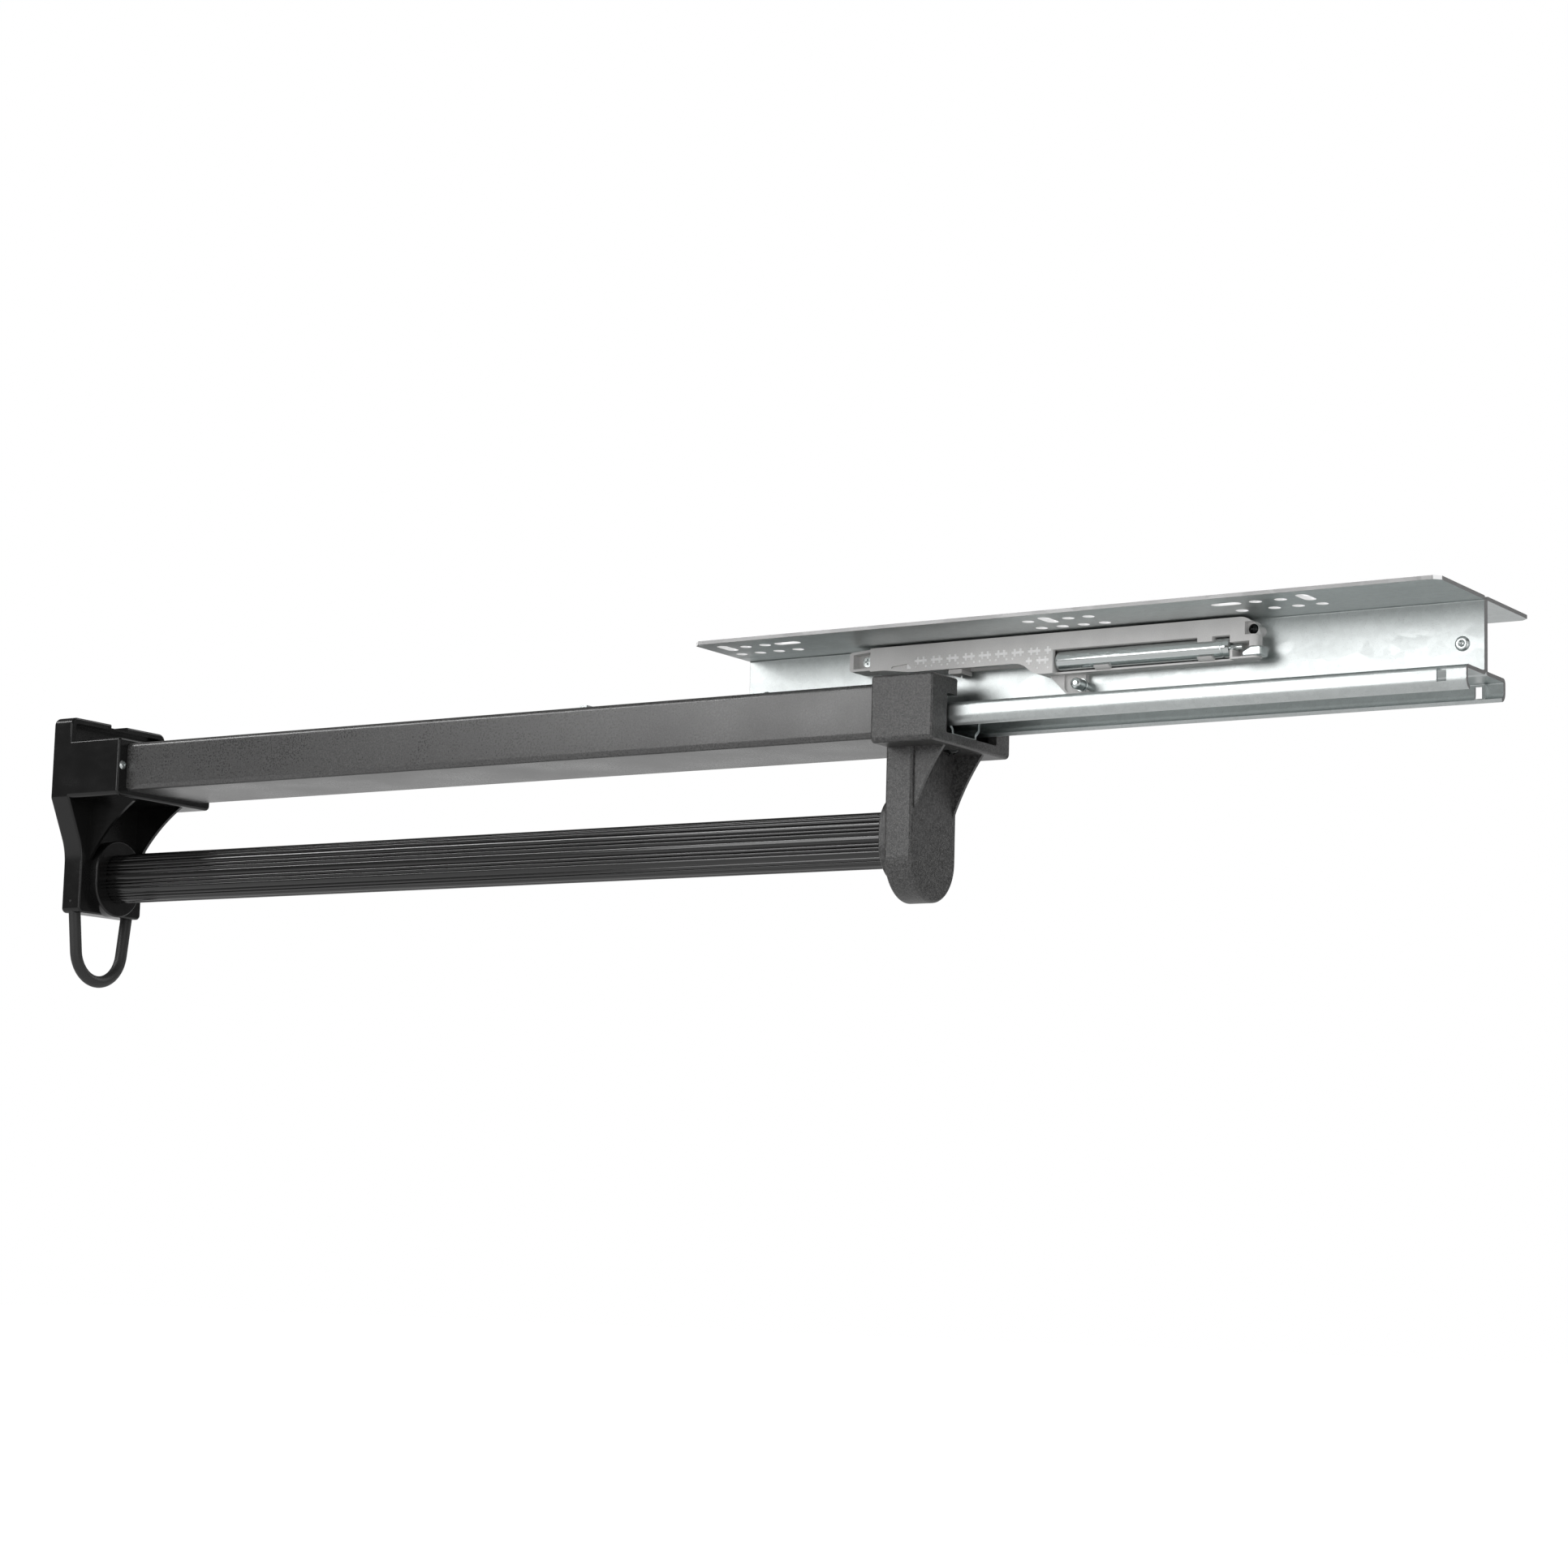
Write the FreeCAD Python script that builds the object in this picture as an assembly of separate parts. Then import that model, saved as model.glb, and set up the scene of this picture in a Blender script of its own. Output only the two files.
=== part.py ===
import FreeCAD, Part
import math
import os

# Pull-out closet rod with soft close, in millimetres.
# +X points to the rear of the wardrobe, +Z up, and the soft-close unit is on the -Y side of the rail's web.
# The origin is the centre of the ceiling rail's top face. The carriage is pulled out to the front.

# --- Driving dimensions -------------------------------------------------------------------------------

# Cutters reach this far past the faces they cut, and joined solids this far into each other.
PAST = 1.0

# Ceiling rail: two folded sheets, back to back, mirror images of each other.
RAIL_LENGTH = 350.0
RAIL_SHEET = 1.6
RAIL_BEND = 0.6
FLANGE_HALF = 48.0
FLANGE_CHAMFER = 3.0
HEAD_TOP_Z = -30.4
HEAD_HALF = 20.7

# Ball track: the balls run between the rail's side walls and the inner channel.
BALL_RADIUS = 2.5
BALL_Y = 16.3
BALL_Z = -36.0
RACE_RADIUS = 2.8
RAIL_LIP_SWEEP = 75.0
CHANNEL_LIP_SWEEP = 38.0

# Ceiling screw holes, as the same pattern on both flanges.
SCREW_HOLE_RADIUS = 2.6
INNER_ROW_Y = 20.0
OUTER_ROW_Y = 35.0
INNER_ROUND_HOLES = (-167.5, -157.5, -147.5, -137.5, -15.0, -5.0, 5.0, 15.0, 78.0, 92.5, 103.0, 113.5)
OUTER_ROUND_HOLES = (-155.3, -145.2, -13.3, 5.7, 15.2, 91.0, 102.0)
OUTER_CROSS_SLOTS = (-165.0, -3.8, 113.0)
OUTER_LONG_SLOTS = (-133.5, 78.0)
SLOT_LENGTH = 13.0

# Stop tabs, bent inwards from the rail's side walls near its rear end.
STOP_X0 = 162.5
STOP_X1 = 168.0
STOP_THICKNESS = 1.4
STOP_INNER_Y = 16.8
STOP_HEIGHT = 5.7
NEAR_STOP_TOP = -31.2
FAR_STOP_TOP = -33.0

# Rivets that hold the two webs together.
WEB_RIVET_X = 165.7
WEB_RIVET_Z = -18.9
WEB_RIVET_RADIUS = 2.0
WEB_RIVET_HEAD = 3.05
RIVET_HEAD_HEIGHT = 1.2
RIVET_DIMPLE_RADIUS = 1.1
RIVET_DIMPLE_DEPTH = 1.0

# Soft-close unit: its housing lies against the web and is 11 mm deep.
UNIT_WEB_Y = -RAIL_SHEET
UNIT_FACE_Y = -12.6
COVER_THICKNESS = 1.0
UNIT_WALL = 1.5
UNIT_TOP = -2.5
UNIT_FRONT = -104.5
UNIT_REAR = 81.3
UNIT_REAR_TOP_RADIUS = 8.0
UNIT_REAR_EASE = 2.5
UNIT_REAR_BACK = 77.5
UNIT_REAR_BACK_Y = -7.5
FRONT_BOTTOM = -12.8
FRONT_BOTTOM_END = -97.0
NARROW_START = -84.0
NARROW_BOTTOM = -14.4
DEEP_BOTTOM = -19.8
DEEP_RADIUS = 0.6
STEP_X0 = -29.0
STEP_X1 = -22.5
STEP_RADIUS = 10.0
TAB_FRONT = -115.0
TAB_FLOOR_Y = -8.0
TAB_FRONT_TOP = -3.8
TAB_REAR_TOP = -3.0
TAB_BOTTOM = -12.3
TAB_END_WALL = 1.9
TAB_RIM = 1.1
TAB_RADIUS = 1.2
TAB_OVERLAP = 0.8
FRONT_SCREW_X = -108.6
FRONT_SCREW_HEAD = 2.4
FRONT_SCREW_SINK = 1.2
REAR_SCREW_X = 78.2
REAR_SCREW_HEAD = 2.2
REAR_SCREW_HEAD_HEIGHT = 1.4
REAR_SCREW_SEAT_Y = -9.4
REAR_BOSS_RADIUS = 2.2
REAR_RECESS_FRONT = 75.7
REAR_RECESS_TOP = -4.6
REAR_RECESS_BOTTOM = -10.0
UNIT_SCREW_Z = -7.4
UNIT_SCREW_RADIUS = 1.5
CAVITY_FRONT = -102.5
CAVITY_REAR = -15.0
CAVITY_TOP = -4.0
CAVITY_BOTTOM = -12.9
SPRING_ROOM_BOTTOM = -11.4
RAMP_RECESS = ((-97.4, -11.9), (-85.4, -10.6), (-83.0, -13.1))
RAMP_RECESS_RADIUS = 0.4
RAMP_RECESS_DEPTH = 0.7

# Shallow ornament on the housing: pairs of overlapping crosses, and dots below them.
ORNAMENT_DEPTH = 0.4
ORNAMENT_PITCH = 8.02
ORNAMENT_COUNT = 8
ORNAMENT_START = -78.8
ORNAMENT_Z = -9.7
SECOND_ROW_DROP = 4.1
CROSS_SIZE = 3.3
CROSS_ARM = 1.1
CROSS_OFFSET = 1.42
DOT_RADIUS = 0.55
DOT_DROP = 2.5
LOW_DOTS = ((-21.2, -17.0), (-16.1, -17.0))

# Ear below the housing. Its slot, open to the rear, hooks round the steel peg on the rail's web.
EAR_THICKNESS = 4.2
EAR_FRONT = -19.5
EAR_REAR = -1.8
EAR_BOTTOM = -28.2
EAR_CORNER_X = -10.4
EAR_RADIUS = 2.5
EAR_EDGE_RADIUS = 0.8
EAR_PAD_FRONT = -11.4
EAR_PAD_BOTTOM = -27.4
EAR_PAD_DEPTH = 1.2
PEG_X = -2.9
PEG_Z = -24.7
PEG_RADIUS = 2.5
PEG_NECK_RADIUS = 1.6
PEG_FLANGE_RADIUS = 2.9
PEG_FLANGE = (-6.6, -5.9)
PEG_GROOVE_RADIUS = 2.0
PEG_SHOULDER_Y = -7.2
PEG_END_Y = -12.5

# Oil damper: a cylinder in the window of the housing, with its rod towards the catch.
CYLINDER_RADIUS = 4.25
CYLINDER_BORE = 3.4
CYLINDER_FRONT = -12.8
CYLINDER_REAR = 68.1
CYLINDER_Y = -8.2
CYLINDER_Z = -14.3
CYLINDER_CAP = 2.5
CYLINDER_ROD_CLEARANCE = 0.1
GROOVE_START = 4.0
GROOVE_WIDTH = 1.2
GROOVE_DEPTH = 0.35
NECK_RADIUS = 1.5
NECK_END = 73.0
WINDOW_FRONT = -13.7
WINDOW_REAR = 69.0
WINDOW_TOP = -9.7
WINDOW_BOTTOM = -19.0
WINDOW_BACK_Y = -3.6
SILL_FACE_Y = -9.0
CLIP_BITE = 2.0
CLIP_ROOT = 0.3
CLIP_THICKNESS = 0.95
LOWER_CLIPS = ((5.6, 12.5), (53.8, 60.5))
LOWER_CLIP_TOP = -17.7
LOWER_CLIP_ROOT_Y = -8.6
UPPER_CLIP = (54.2, 60.9)
PISTON_ROD_RADIUS = 1.0
PISTON_ROD_Z = -13.0
PISTON_RADIUS = 3.1
PISTON_LENGTH = 3.0
PISTON_X = -6.0
TAIL_NOTCH_FRONT = 70.2
TAIL_NOTCH_REAR = 77.8
TAIL_NOTCH_TOP = -12.7
LUG_FRONT = 74.4
LUG_REAR = 83.0
LUG_TOP = -14.9
LUG_TAPER_END = 78.3
LUG_TAPER_Z = -17.0
LUG_RADIUS = 1.0
LUG_BACK_Y = -5.3

# Catch: it slides in the housing and the tube's finger drives it for the last stretch.
CATCH_TRAVEL = 26.0
CATCH_FRONT = -66.0
CATCH_REAR = -50.0
CATCH_GAP = 0.3
CATCH_RADIUS = 0.8
CATCH_SOCKET = 4.0
STEM_X = (-64.5, -58.6)
STEM_Y = (-10.7, -4.1)
SHOE_X = (-64.8, -58.3)
SHOE_Y = (-12.3, -3.0)
SHOE_TOP = -14.7
SHOE_BOTTOM = -16.7
SHOE_RADIUS = 0.4
SHOE_NOTCH_X = (-63.8, -59.2)
SHOE_NOTCH_FRONT_Y = -11.0
SHOE_NOTCH_TOP = -15.9
SPRING_WIRE = 0.8
SPRING_RADIUS = 2.3
SPRING_PITCH = 2.2
SPRING_SEAT = 1.5
ROD_CLEARANCE = 0.4

# Carriage: distance that it runs in to the rear, and the tube round the rail's head.
TUBE_FRONT = -560.0
TUBE_REAR = -64.0
TUBE_HALF = 28.0
TUBE_TOP = -21.0
TUBE_BOTTOM = -45.2
TUBE_WALL = 1.6
TUBE_BEND = 1.2
TUBE_SLOT_HALF = 13.8
TUBE_LIP_BOTTOM = -26.4
CHANNEL_LENGTH = 350.0
CHANNEL_REAR = -63.5
CHANNEL_SHEET = 1.4
CHANNEL_FOOT_HALF = 10.6
CHANNEL_STEP_Z0 = -38.6
CHANNEL_STEP_Z1 = -40.8
CHANNEL_STEP_BEND = 1.0
CHANNEL_FOOT_BEND = 0.6
CHANNEL_RIVET_X = (-395.0, -275.0, -155.0)
CHANNEL_RIVET_RADIUS = 2.5
CHANNEL_RIVET_HEAD = 4.0
CHANNEL_RIVET_RECESS = 0.3

# Ball cage: a strip with side flanges that space the balls.
CAGE_REAR = -70.0
CAGE_LENGTH = 100.0
CAGE_SHEET = 0.5
CAGE_BEND = 0.4
CAGE_TOP = -32.4
CAGE_HALF = 16.6
CAGE_BOTTOM = -37.4
CAGE_POCKET_RADIUS = 2.6
BALLS_PER_SIDE = 8
BALL_PITCH = 12.4

# Finger inside the tube's slot that meets the catch. It is riveted to the near lip.
FINGER_X = -261.5
FINGER_LENGTH = 18.0
FINGER_SHEET = 1.2
FINGER_BOTTOM = -26.2
FINGER_TIP_Y = -5.0
FINGER_ARM_TOP = -21.5
FINGER_TOOTH_TOP = -17.1
FINGER_TOOTH_LENGTH = 4.0
FINGER_RIVET_RADIUS = 0.7
FINGER_RIVET_HEAD = 1.1
FINGER_RIVET_HEIGHT = 0.5
FINGER_RIVET_Z = -25.0
FINGER_RIVET_REACH = 6.0

# Brackets at the two ends of the tube.
BRACKET_HALF = 34.0
BRACKET_EDGE = 2.5
BRACKET_TOP_EDGE = 1.6
BLOCK_EASE = 1.2
PLATE_FRONT_EASE = 2.0
PLATE_REAR_EASE = 1.0
TONGUE_EASE = 1.5
COLLAR_EASE = 0.8
PLATE_FRONT = -578.0
PLATE_REAR = -565.0
PLATE_TOP = -6.5
PLATE_BOTTOM = -104.8
PLATE_NECK_HALF = 22.2
PLATE_SHOULDER_Z = -47.5
PLATE_NECK_Z = -73.3
PLATE_NECK_RADIUS = 30.0
PLATE_TOP_RADIUS = 4.0
PLATE_SHOULDER_RADIUS = 3.0
PLATE_BOTTOM_RADIUS = 2.5
FRONT_BLOCK_REAR = -531.5
FRONT_BLOCK_TOP = -18.9
BLOCK_BOTTOM = -48.2
POCKET_DEPTH = 5.0
POCKET_RIM = 3.0
POCKET_RADIUS = 1.5
RIM_NOTCH_FRONT = -575.0
RIM_NOTCH_HALF = 6.0
RIM_NOTCH_DEPTH = 2.0
BLOCK_SCREW_Y = 31.0
BLOCK_SCREW_Z = -32.7
BLOCK_SCREW_RADIUS = 1.4
BLOCK_SCREW_HEAD = 2.3
BLOCK_SCREW_HEAD_HEIGHT = 1.1
BLOCK_SCREW_LENGTH = 18.0
RIB_Y = 16.7
RIB_THICKNESS = 1.7
FRONT_RIB_START = -535.0
FRONT_RIB_MIDDLE = (-550.0, -59.6)
FRONT_RIB_FOOT = -78.5
REAR_RIB_START = -63.5
REAR_RIB_MIDDLE = (-71.3, -60.6)
REAR_RIB_FOOT = -75.0
REAR_BLOCK_FRONT = -90.6
REAR_BLOCK_REAR = -59.7
REAR_BLOCK_TOP = -19.0
REAR_SLOT_HALF = 13.3
REAR_SLOT_BOTTOM = -26.4
REAR_OPENING_HALF = 21.8
REAR_OPENING_BOTTOM = -43.6
REAR_OPENING_RADIUS = 1.0
TONGUE_HALF = 19.3
TONGUE_FRONT = -91.5
TONGUE_REAR = -77.8
TONGUE_CENTRE_Z = -95.0
TUBE_SCREW_X = -70.0
TUBE_SCREW_RADIUS = 2.0
TUBE_SCREW_HEAD = 3.6
TUBE_SCREW_HEAD_HEIGHT = 1.6
TUBE_SCREW_TIP = -41.4

# Hanger rod: an oval tube with a ribbed cover, between the two brackets.
ROD_Z = -86.0
ROD_HALF_WIDTH = 9.0
ROD_HALF_HEIGHT = 12.5
ROD_RIB_DEPTH = 0.4
ROD_RIBS = 38
ROD_COVER = 1.4
ROD_CORE_WALL = 1.5
COLLAR_HALF_WIDTH = 15.9
COLLAR_HALF_HEIGHT = 19.5
FRONT_COLLAR_END = -560.0
REAR_COLLAR_END = -96.5

# Finger loop under the front bracket.
LOOP_X = -571.5
LOOP_BAR = 3.0
LOOP_RADIUS = 16.3
LOOP_CENTRE_Z = -122.0
LOOP_LEAN = 7.0
LOOP_PLUG_TOP = -98.0

# Phillips recesses.
RECESS_DEPTH = 0.9
RECESS_ARM_RATIO = 0.32
RECESS_REACH_RATIO = 0.6

X_AXIS = FreeCAD.Vector(1, 0, 0)
Y_AXIS = FreeCAD.Vector(0, 1, 0)
Z_AXIS = FreeCAD.Vector(0, 0, 1)
ORIGIN = FreeCAD.Vector(0, 0, 0)


# --- Shared geometry ----------------------------------------------------------------------------------

def block(x0, x1, y0, y1, z0, z1):
    """Box between two corners."""
    return Part.makeBox(x1 - x0, y1 - y0, z1 - z0, FreeCAD.Vector(x0, y0, z0))


def bar_x(radius, x0, x1, y, z):
    """Round bar along X."""
    return Part.makeCylinder(radius, x1 - x0, FreeCAD.Vector(x0, y, z), X_AXIS)


def bar_y(radius, y0, y1, x, z):
    """Round bar along Y."""
    return Part.makeCylinder(radius, y1 - y0, FreeCAD.Vector(x, y0, z), Y_AXIS)


def bar_z(radius, z0, z1, x, y):
    """Round bar along Z."""
    return Part.makeCylinder(radius, z1 - z0, FreeCAD.Vector(x, y, z0), Z_AXIS)


def union(shapes):
    """One solid of overlapping or touching shapes."""
    first, *others = shapes
    return first.multiFuse(others).removeSplitter()


def mirrored(shape):
    """The shape on the other side of the XZ plane."""
    return shape.mirror(ORIGIN, Y_AXIS)


def placed(a, b, plane, level):
    """Point of a section: plane x takes (y, z), plane y takes (x, z), plane z takes (x, y)."""
    if plane == "x":
        return FreeCAD.Vector(level, a, b)
    if plane == "y":
        return FreeCAD.Vector(a, level, b)
    return FreeCAD.Vector(a, b, level)


def rounded_edges(corners, plane, level):
    """Edges of a closed outline, with a tangent arc at each corner (a, b, radius)."""
    edges = []
    count = len(corners)
    ends = []
    for index, (a, b, radius) in enumerate(corners):
        before = FreeCAD.Vector(*corners[index - 1][:2], 0)
        corner = FreeCAD.Vector(a, b, 0)
        after = FreeCAD.Vector(*corners[(index + 1) % count][:2], 0)
        back = (before - corner).normalize()
        ahead = (after - corner).normalize()
        half_angle = back.getAngle(ahead) / 2
        if radius == 0 or half_angle > math.pi / 2 - 1e-6:
            ends.append((corner, None, corner))
            continue
        tangent = radius / math.tan(half_angle)
        bisector = (back + ahead).normalize()
        middle = corner + bisector * (radius / math.sin(half_angle) - radius)
        ends.append((corner + back * tangent, middle, corner + ahead * tangent))
    for index, (_, _, leave) in enumerate(ends):
        arrive, middle, onward = ends[(index + 1) % count]
        points = [placed(p.x, p.y, plane, level) for p in (leave, arrive, onward)]
        if (leave - arrive).Length > 1e-6:
            edges.append(Part.makeLine(points[0], points[1]))
        if middle is not None:
            edges.append(Part.Arc(points[1], placed(middle.x, middle.y, plane, level), points[2]).toShape())
    return edges


def prism(corners, plane, low, high):
    """Solid with a rounded outline, from one level to another along the plane's normal."""
    face = Part.Face(Part.Wire(rounded_edges(corners, plane, low)))
    normal = {"x": X_AXIS, "y": Y_AXIS, "z": Z_AXIS}[plane]
    return face.extrude(normal * (high - low))


def sharp(points):
    """Outline corners without rounding."""
    return [(a, b, 0) for a, b in points]


def symmetric(corners):
    """Closed outline from its right half, listed from top to bottom, and the mirror image of that."""
    return corners + [(-a, b, radius) for a, b, radius in reversed(corners)]


def rectangle(a0, a1, b0, b1, radius):
    """Outline of a rectangle with one corner radius."""
    return [(a0, b0, radius), (a1, b0, radius), (a1, b1, radius), (a0, b1, radius)]


def folded_sheet(path, thickness, x0, x1):
    """Sheet folded along X. The path (y, z, inner radius) is one face, and the sheet lies on its left."""
    points = [FreeCAD.Vector(y, z, 0) for y, z, _ in path]
    near_face = []
    far_face = []
    for index, (y, z, inner) in enumerate(path):
        into = (points[index] - points[index - 1]).normalize() if index else None
        out = (points[index + 1] - points[index]).normalize() if index + 1 < len(path) else None
        into = into or out
        out = out or into
        left_in = FreeCAD.Vector(-into.y, into.x, 0)
        left_out = FreeCAD.Vector(-out.y, out.x, 0)
        offset = (left_in + left_out) * (thickness / (1 + left_in.dot(left_out)))
        turn_left = into.cross(out).z > 0
        outer = inner + thickness if inner else 0
        near_face.append((y, z, outer if turn_left else inner))
        far_face.append((y + offset.x, z + offset.y, inner if turn_left else outer))
    return prism(near_face + far_face[::-1], "x", x0, x1)


def obround(half_width, half_height):
    """Outline, in Y and Z about the hanger rod's axis, of an upright oval with flat sides."""
    return rectangle(-half_width, half_width, ROD_Z - half_height, ROD_Z + half_height, half_width)


def eased(solid, radius, axis, level):
    """The solid with its edges in one plane across an axis rounded over."""
    edges = [edge for edge in solid.Edges
             if all(abs(getattr(vertex.Point, axis) - level) < 1e-6 for vertex in edge.Vertexes)]
    return solid.makeFillet(radius, edges)


def dome(radius, height):
    """Button head with its flat side at the origin, rising along Z."""
    ball_radius = (radius ** 2 + height ** 2) / (2 * height)
    ball = Part.makeSphere(ball_radius, FreeCAD.Vector(0, 0, height - ball_radius))
    return ball.common(Part.makeCylinder(radius, height))


def phillips(head_radius, depth):
    """Cross recess that is cut down from the origin along -Z."""
    arm = head_radius * RECESS_ARM_RATIO
    reach = head_radius * RECESS_REACH_RATIO
    long_x = block(-reach, reach, -arm / 2, arm / 2, -depth, depth)
    long_y = block(-arm / 2, arm / 2, -reach, reach, -depth, depth)
    return long_x.fuse(long_y)


def turned(shape, axis, place):
    """A shape made along Z, turned so that Z points along the axis, and put at the place."""
    copy = shape.copy()
    copy.Placement = FreeCAD.Placement(place, FreeCAD.Rotation(Z_AXIS, axis))
    return copy


def pan_screw(head_radius, head_height, radius, length):
    """Phillips screw with its bearing face at the origin, its head along +Z and its shank along -Z."""
    head = dome(head_radius, head_height).cut(
        phillips(head_radius, RECESS_DEPTH).translated(FreeCAD.Vector(0, 0, head_height)))
    shank = Part.makeCylinder(radius, length, FreeCAD.Vector(0, 0, -length))
    return head.fuse(shank).removeSplitter()


# --- Ceiling rail -------------------------------------------------------------------------------------

def ceiling_holes():
    """Cutters for the screw holes and slots in the far flange."""
    cutters = []
    top = PAST
    bottom = -RAIL_SHEET - PAST
    slot_reach = SLOT_LENGTH / 2
    for row_y, places in ((INNER_ROW_Y, INNER_ROUND_HOLES), (OUTER_ROW_Y, OUTER_ROUND_HOLES)):
        cutters += [bar_z(SCREW_HOLE_RADIUS, bottom, top, x, row_y) for x in places]
    for x in OUTER_CROSS_SLOTS:
        outline = rectangle(x - SCREW_HOLE_RADIUS, x + SCREW_HOLE_RADIUS,
                            OUTER_ROW_Y - slot_reach, OUTER_ROW_Y + slot_reach, SCREW_HOLE_RADIUS)
        cutters.append(prism(outline, "z", bottom, top))
    for x in OUTER_LONG_SLOTS:
        outline = rectangle(x - slot_reach, x + slot_reach,
                            OUTER_ROW_Y - SCREW_HOLE_RADIUS, OUTER_ROW_Y + SCREW_HOLE_RADIUS, SCREW_HOLE_RADIUS)
        cutters.append(prism(outline, "z", bottom, top))
    return cutters


def rail_half(stop_top):
    """Far half of the rail: flange, web, head and ball race, with its stop tab."""
    half_length = RAIL_LENGTH / 2
    head_bottom = HEAD_TOP_Z - RAIL_SHEET
    race_wall = BALL_Y + RACE_RADIUS
    sweep = math.radians(RAIL_LIP_SWEEP)
    path = [
        (FLANGE_HALF, 0, 0),
        (0, 0, RAIL_BEND),
        (0, head_bottom, RAIL_BEND),
        (race_wall, head_bottom, RAIL_BEND),
        (race_wall, BALL_Z - RACE_RADIUS * math.tan(sweep / 2), RACE_RADIUS),
        (BALL_Y + RACE_RADIUS * math.cos(sweep), BALL_Z - RACE_RADIUS * math.sin(sweep), 0),
    ]
    sheet = folded_sheet(path, RAIL_SHEET, -half_length, half_length)
    inner_x = half_length - FLANGE_CHAMFER
    inner_y = FLANGE_HALF - FLANGE_CHAMFER
    plan = sharp([(-half_length, 0), (half_length, 0), (half_length, inner_y), (inner_x, FLANGE_HALF),
                  (-inner_x, FLANGE_HALF), (-half_length, inner_y)])
    sheet = sheet.common(prism(plan, "z", -RAIL_LENGTH, PAST))
    stop_bottom = stop_top - STOP_HEIGHT
    tab_front = STOP_X1 - STOP_THICKNESS
    window = block(STOP_X0, tab_front, race_wall - PAST, HEAD_HALF + PAST, stop_bottom, stop_top)
    tab = block(tab_front, STOP_X1, STOP_INNER_Y, race_wall + RAIL_SHEET / 2, stop_bottom, stop_top)
    rivets = [bar_y(WEB_RIVET_RADIUS, -PAST, RAIL_SHEET + PAST, side * WEB_RIVET_X, WEB_RIVET_Z) for side in (-1, 1)]
    screws = [bar_y(UNIT_SCREW_RADIUS, -PAST, RAIL_SHEET + PAST, x, UNIT_SCREW_Z)
              for x in (FRONT_SCREW_X, REAR_SCREW_X)]
    return union([sheet.cut(window), tab]).cut(ceiling_holes() + rivets + screws)


def rail_far_half():
    """Half of the rail on the +Y side."""
    return rail_half(FAR_STOP_TOP)


def rail_near_half():
    """Half of the rail on the -Y side, behind the soft-close unit."""
    return mirrored(rail_half(NEAR_STOP_TOP))


def web_rivets():
    """Tubular rivets through both webs, with a button head and a dimple on each side."""
    head = dome(WEB_RIVET_HEAD, RIVET_HEAD_HEIGHT)
    rivets = []
    for x in (-WEB_RIVET_X, WEB_RIVET_X):
        shank = bar_y(WEB_RIVET_RADIUS, -RAIL_SHEET, RAIL_SHEET, x, WEB_RIVET_Z)
        far_head = turned(head, Y_AXIS, FreeCAD.Vector(x, RAIL_SHEET, WEB_RIVET_Z))
        near_head = turned(head, -Y_AXIS, FreeCAD.Vector(x, -RAIL_SHEET, WEB_RIVET_Z))
        head_top = RAIL_SHEET + RIVET_HEAD_HEIGHT
        dimples = [bar_y(RIVET_DIMPLE_RADIUS, y, y + RIVET_DIMPLE_DEPTH, x, WEB_RIVET_Z)
                   for y in (-head_top, head_top - RIVET_DIMPLE_DEPTH)]
        rivets.append(union([shank, far_head, near_head]).cut(dimples))
    return Part.makeCompound(rivets)


# --- Soft-close unit ----------------------------------------------------------------------------------

def unit_outline():
    """Side outline of the housing: narrow in front, deep at the damper."""
    return [
        (UNIT_FRONT, UNIT_TOP, 0),
        (UNIT_REAR, UNIT_TOP, UNIT_REAR_TOP_RADIUS),
        (UNIT_REAR, DEEP_BOTTOM, DEEP_RADIUS),
        (STEP_X1, DEEP_BOTTOM, STEP_RADIUS),
        (STEP_X0, NARROW_BOTTOM, STEP_RADIUS),
        (NARROW_START, NARROW_BOTTOM, STEP_RADIUS),
        (FRONT_BOTTOM_END, FRONT_BOTTOM, STEP_RADIUS),
        (UNIT_FRONT, FRONT_BOTTOM, 0),
    ]


def tab_outline():
    """Side outline of the housing's front tab."""
    rear = UNIT_FRONT + TAB_OVERLAP
    return [(TAB_FRONT, TAB_FRONT_TOP, TAB_RADIUS), (rear, TAB_REAR_TOP, 0), (rear, TAB_BOTTOM, 0),
            (TAB_FRONT, TAB_BOTTOM, TAB_RADIUS)]


def cross(x, z):
    """Cutters for one shallow cross in the housing's face."""
    y0 = UNIT_FACE_Y - 1
    y1 = UNIT_FACE_Y + ORNAMENT_DEPTH
    return [block(x - reach_x, x + reach_x, y0, y1, z - reach_z, z + reach_z)
            for reach_x, reach_z in ((CROSS_SIZE / 2, CROSS_ARM / 2), (CROSS_ARM / 2, CROSS_SIZE / 2))]


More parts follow.
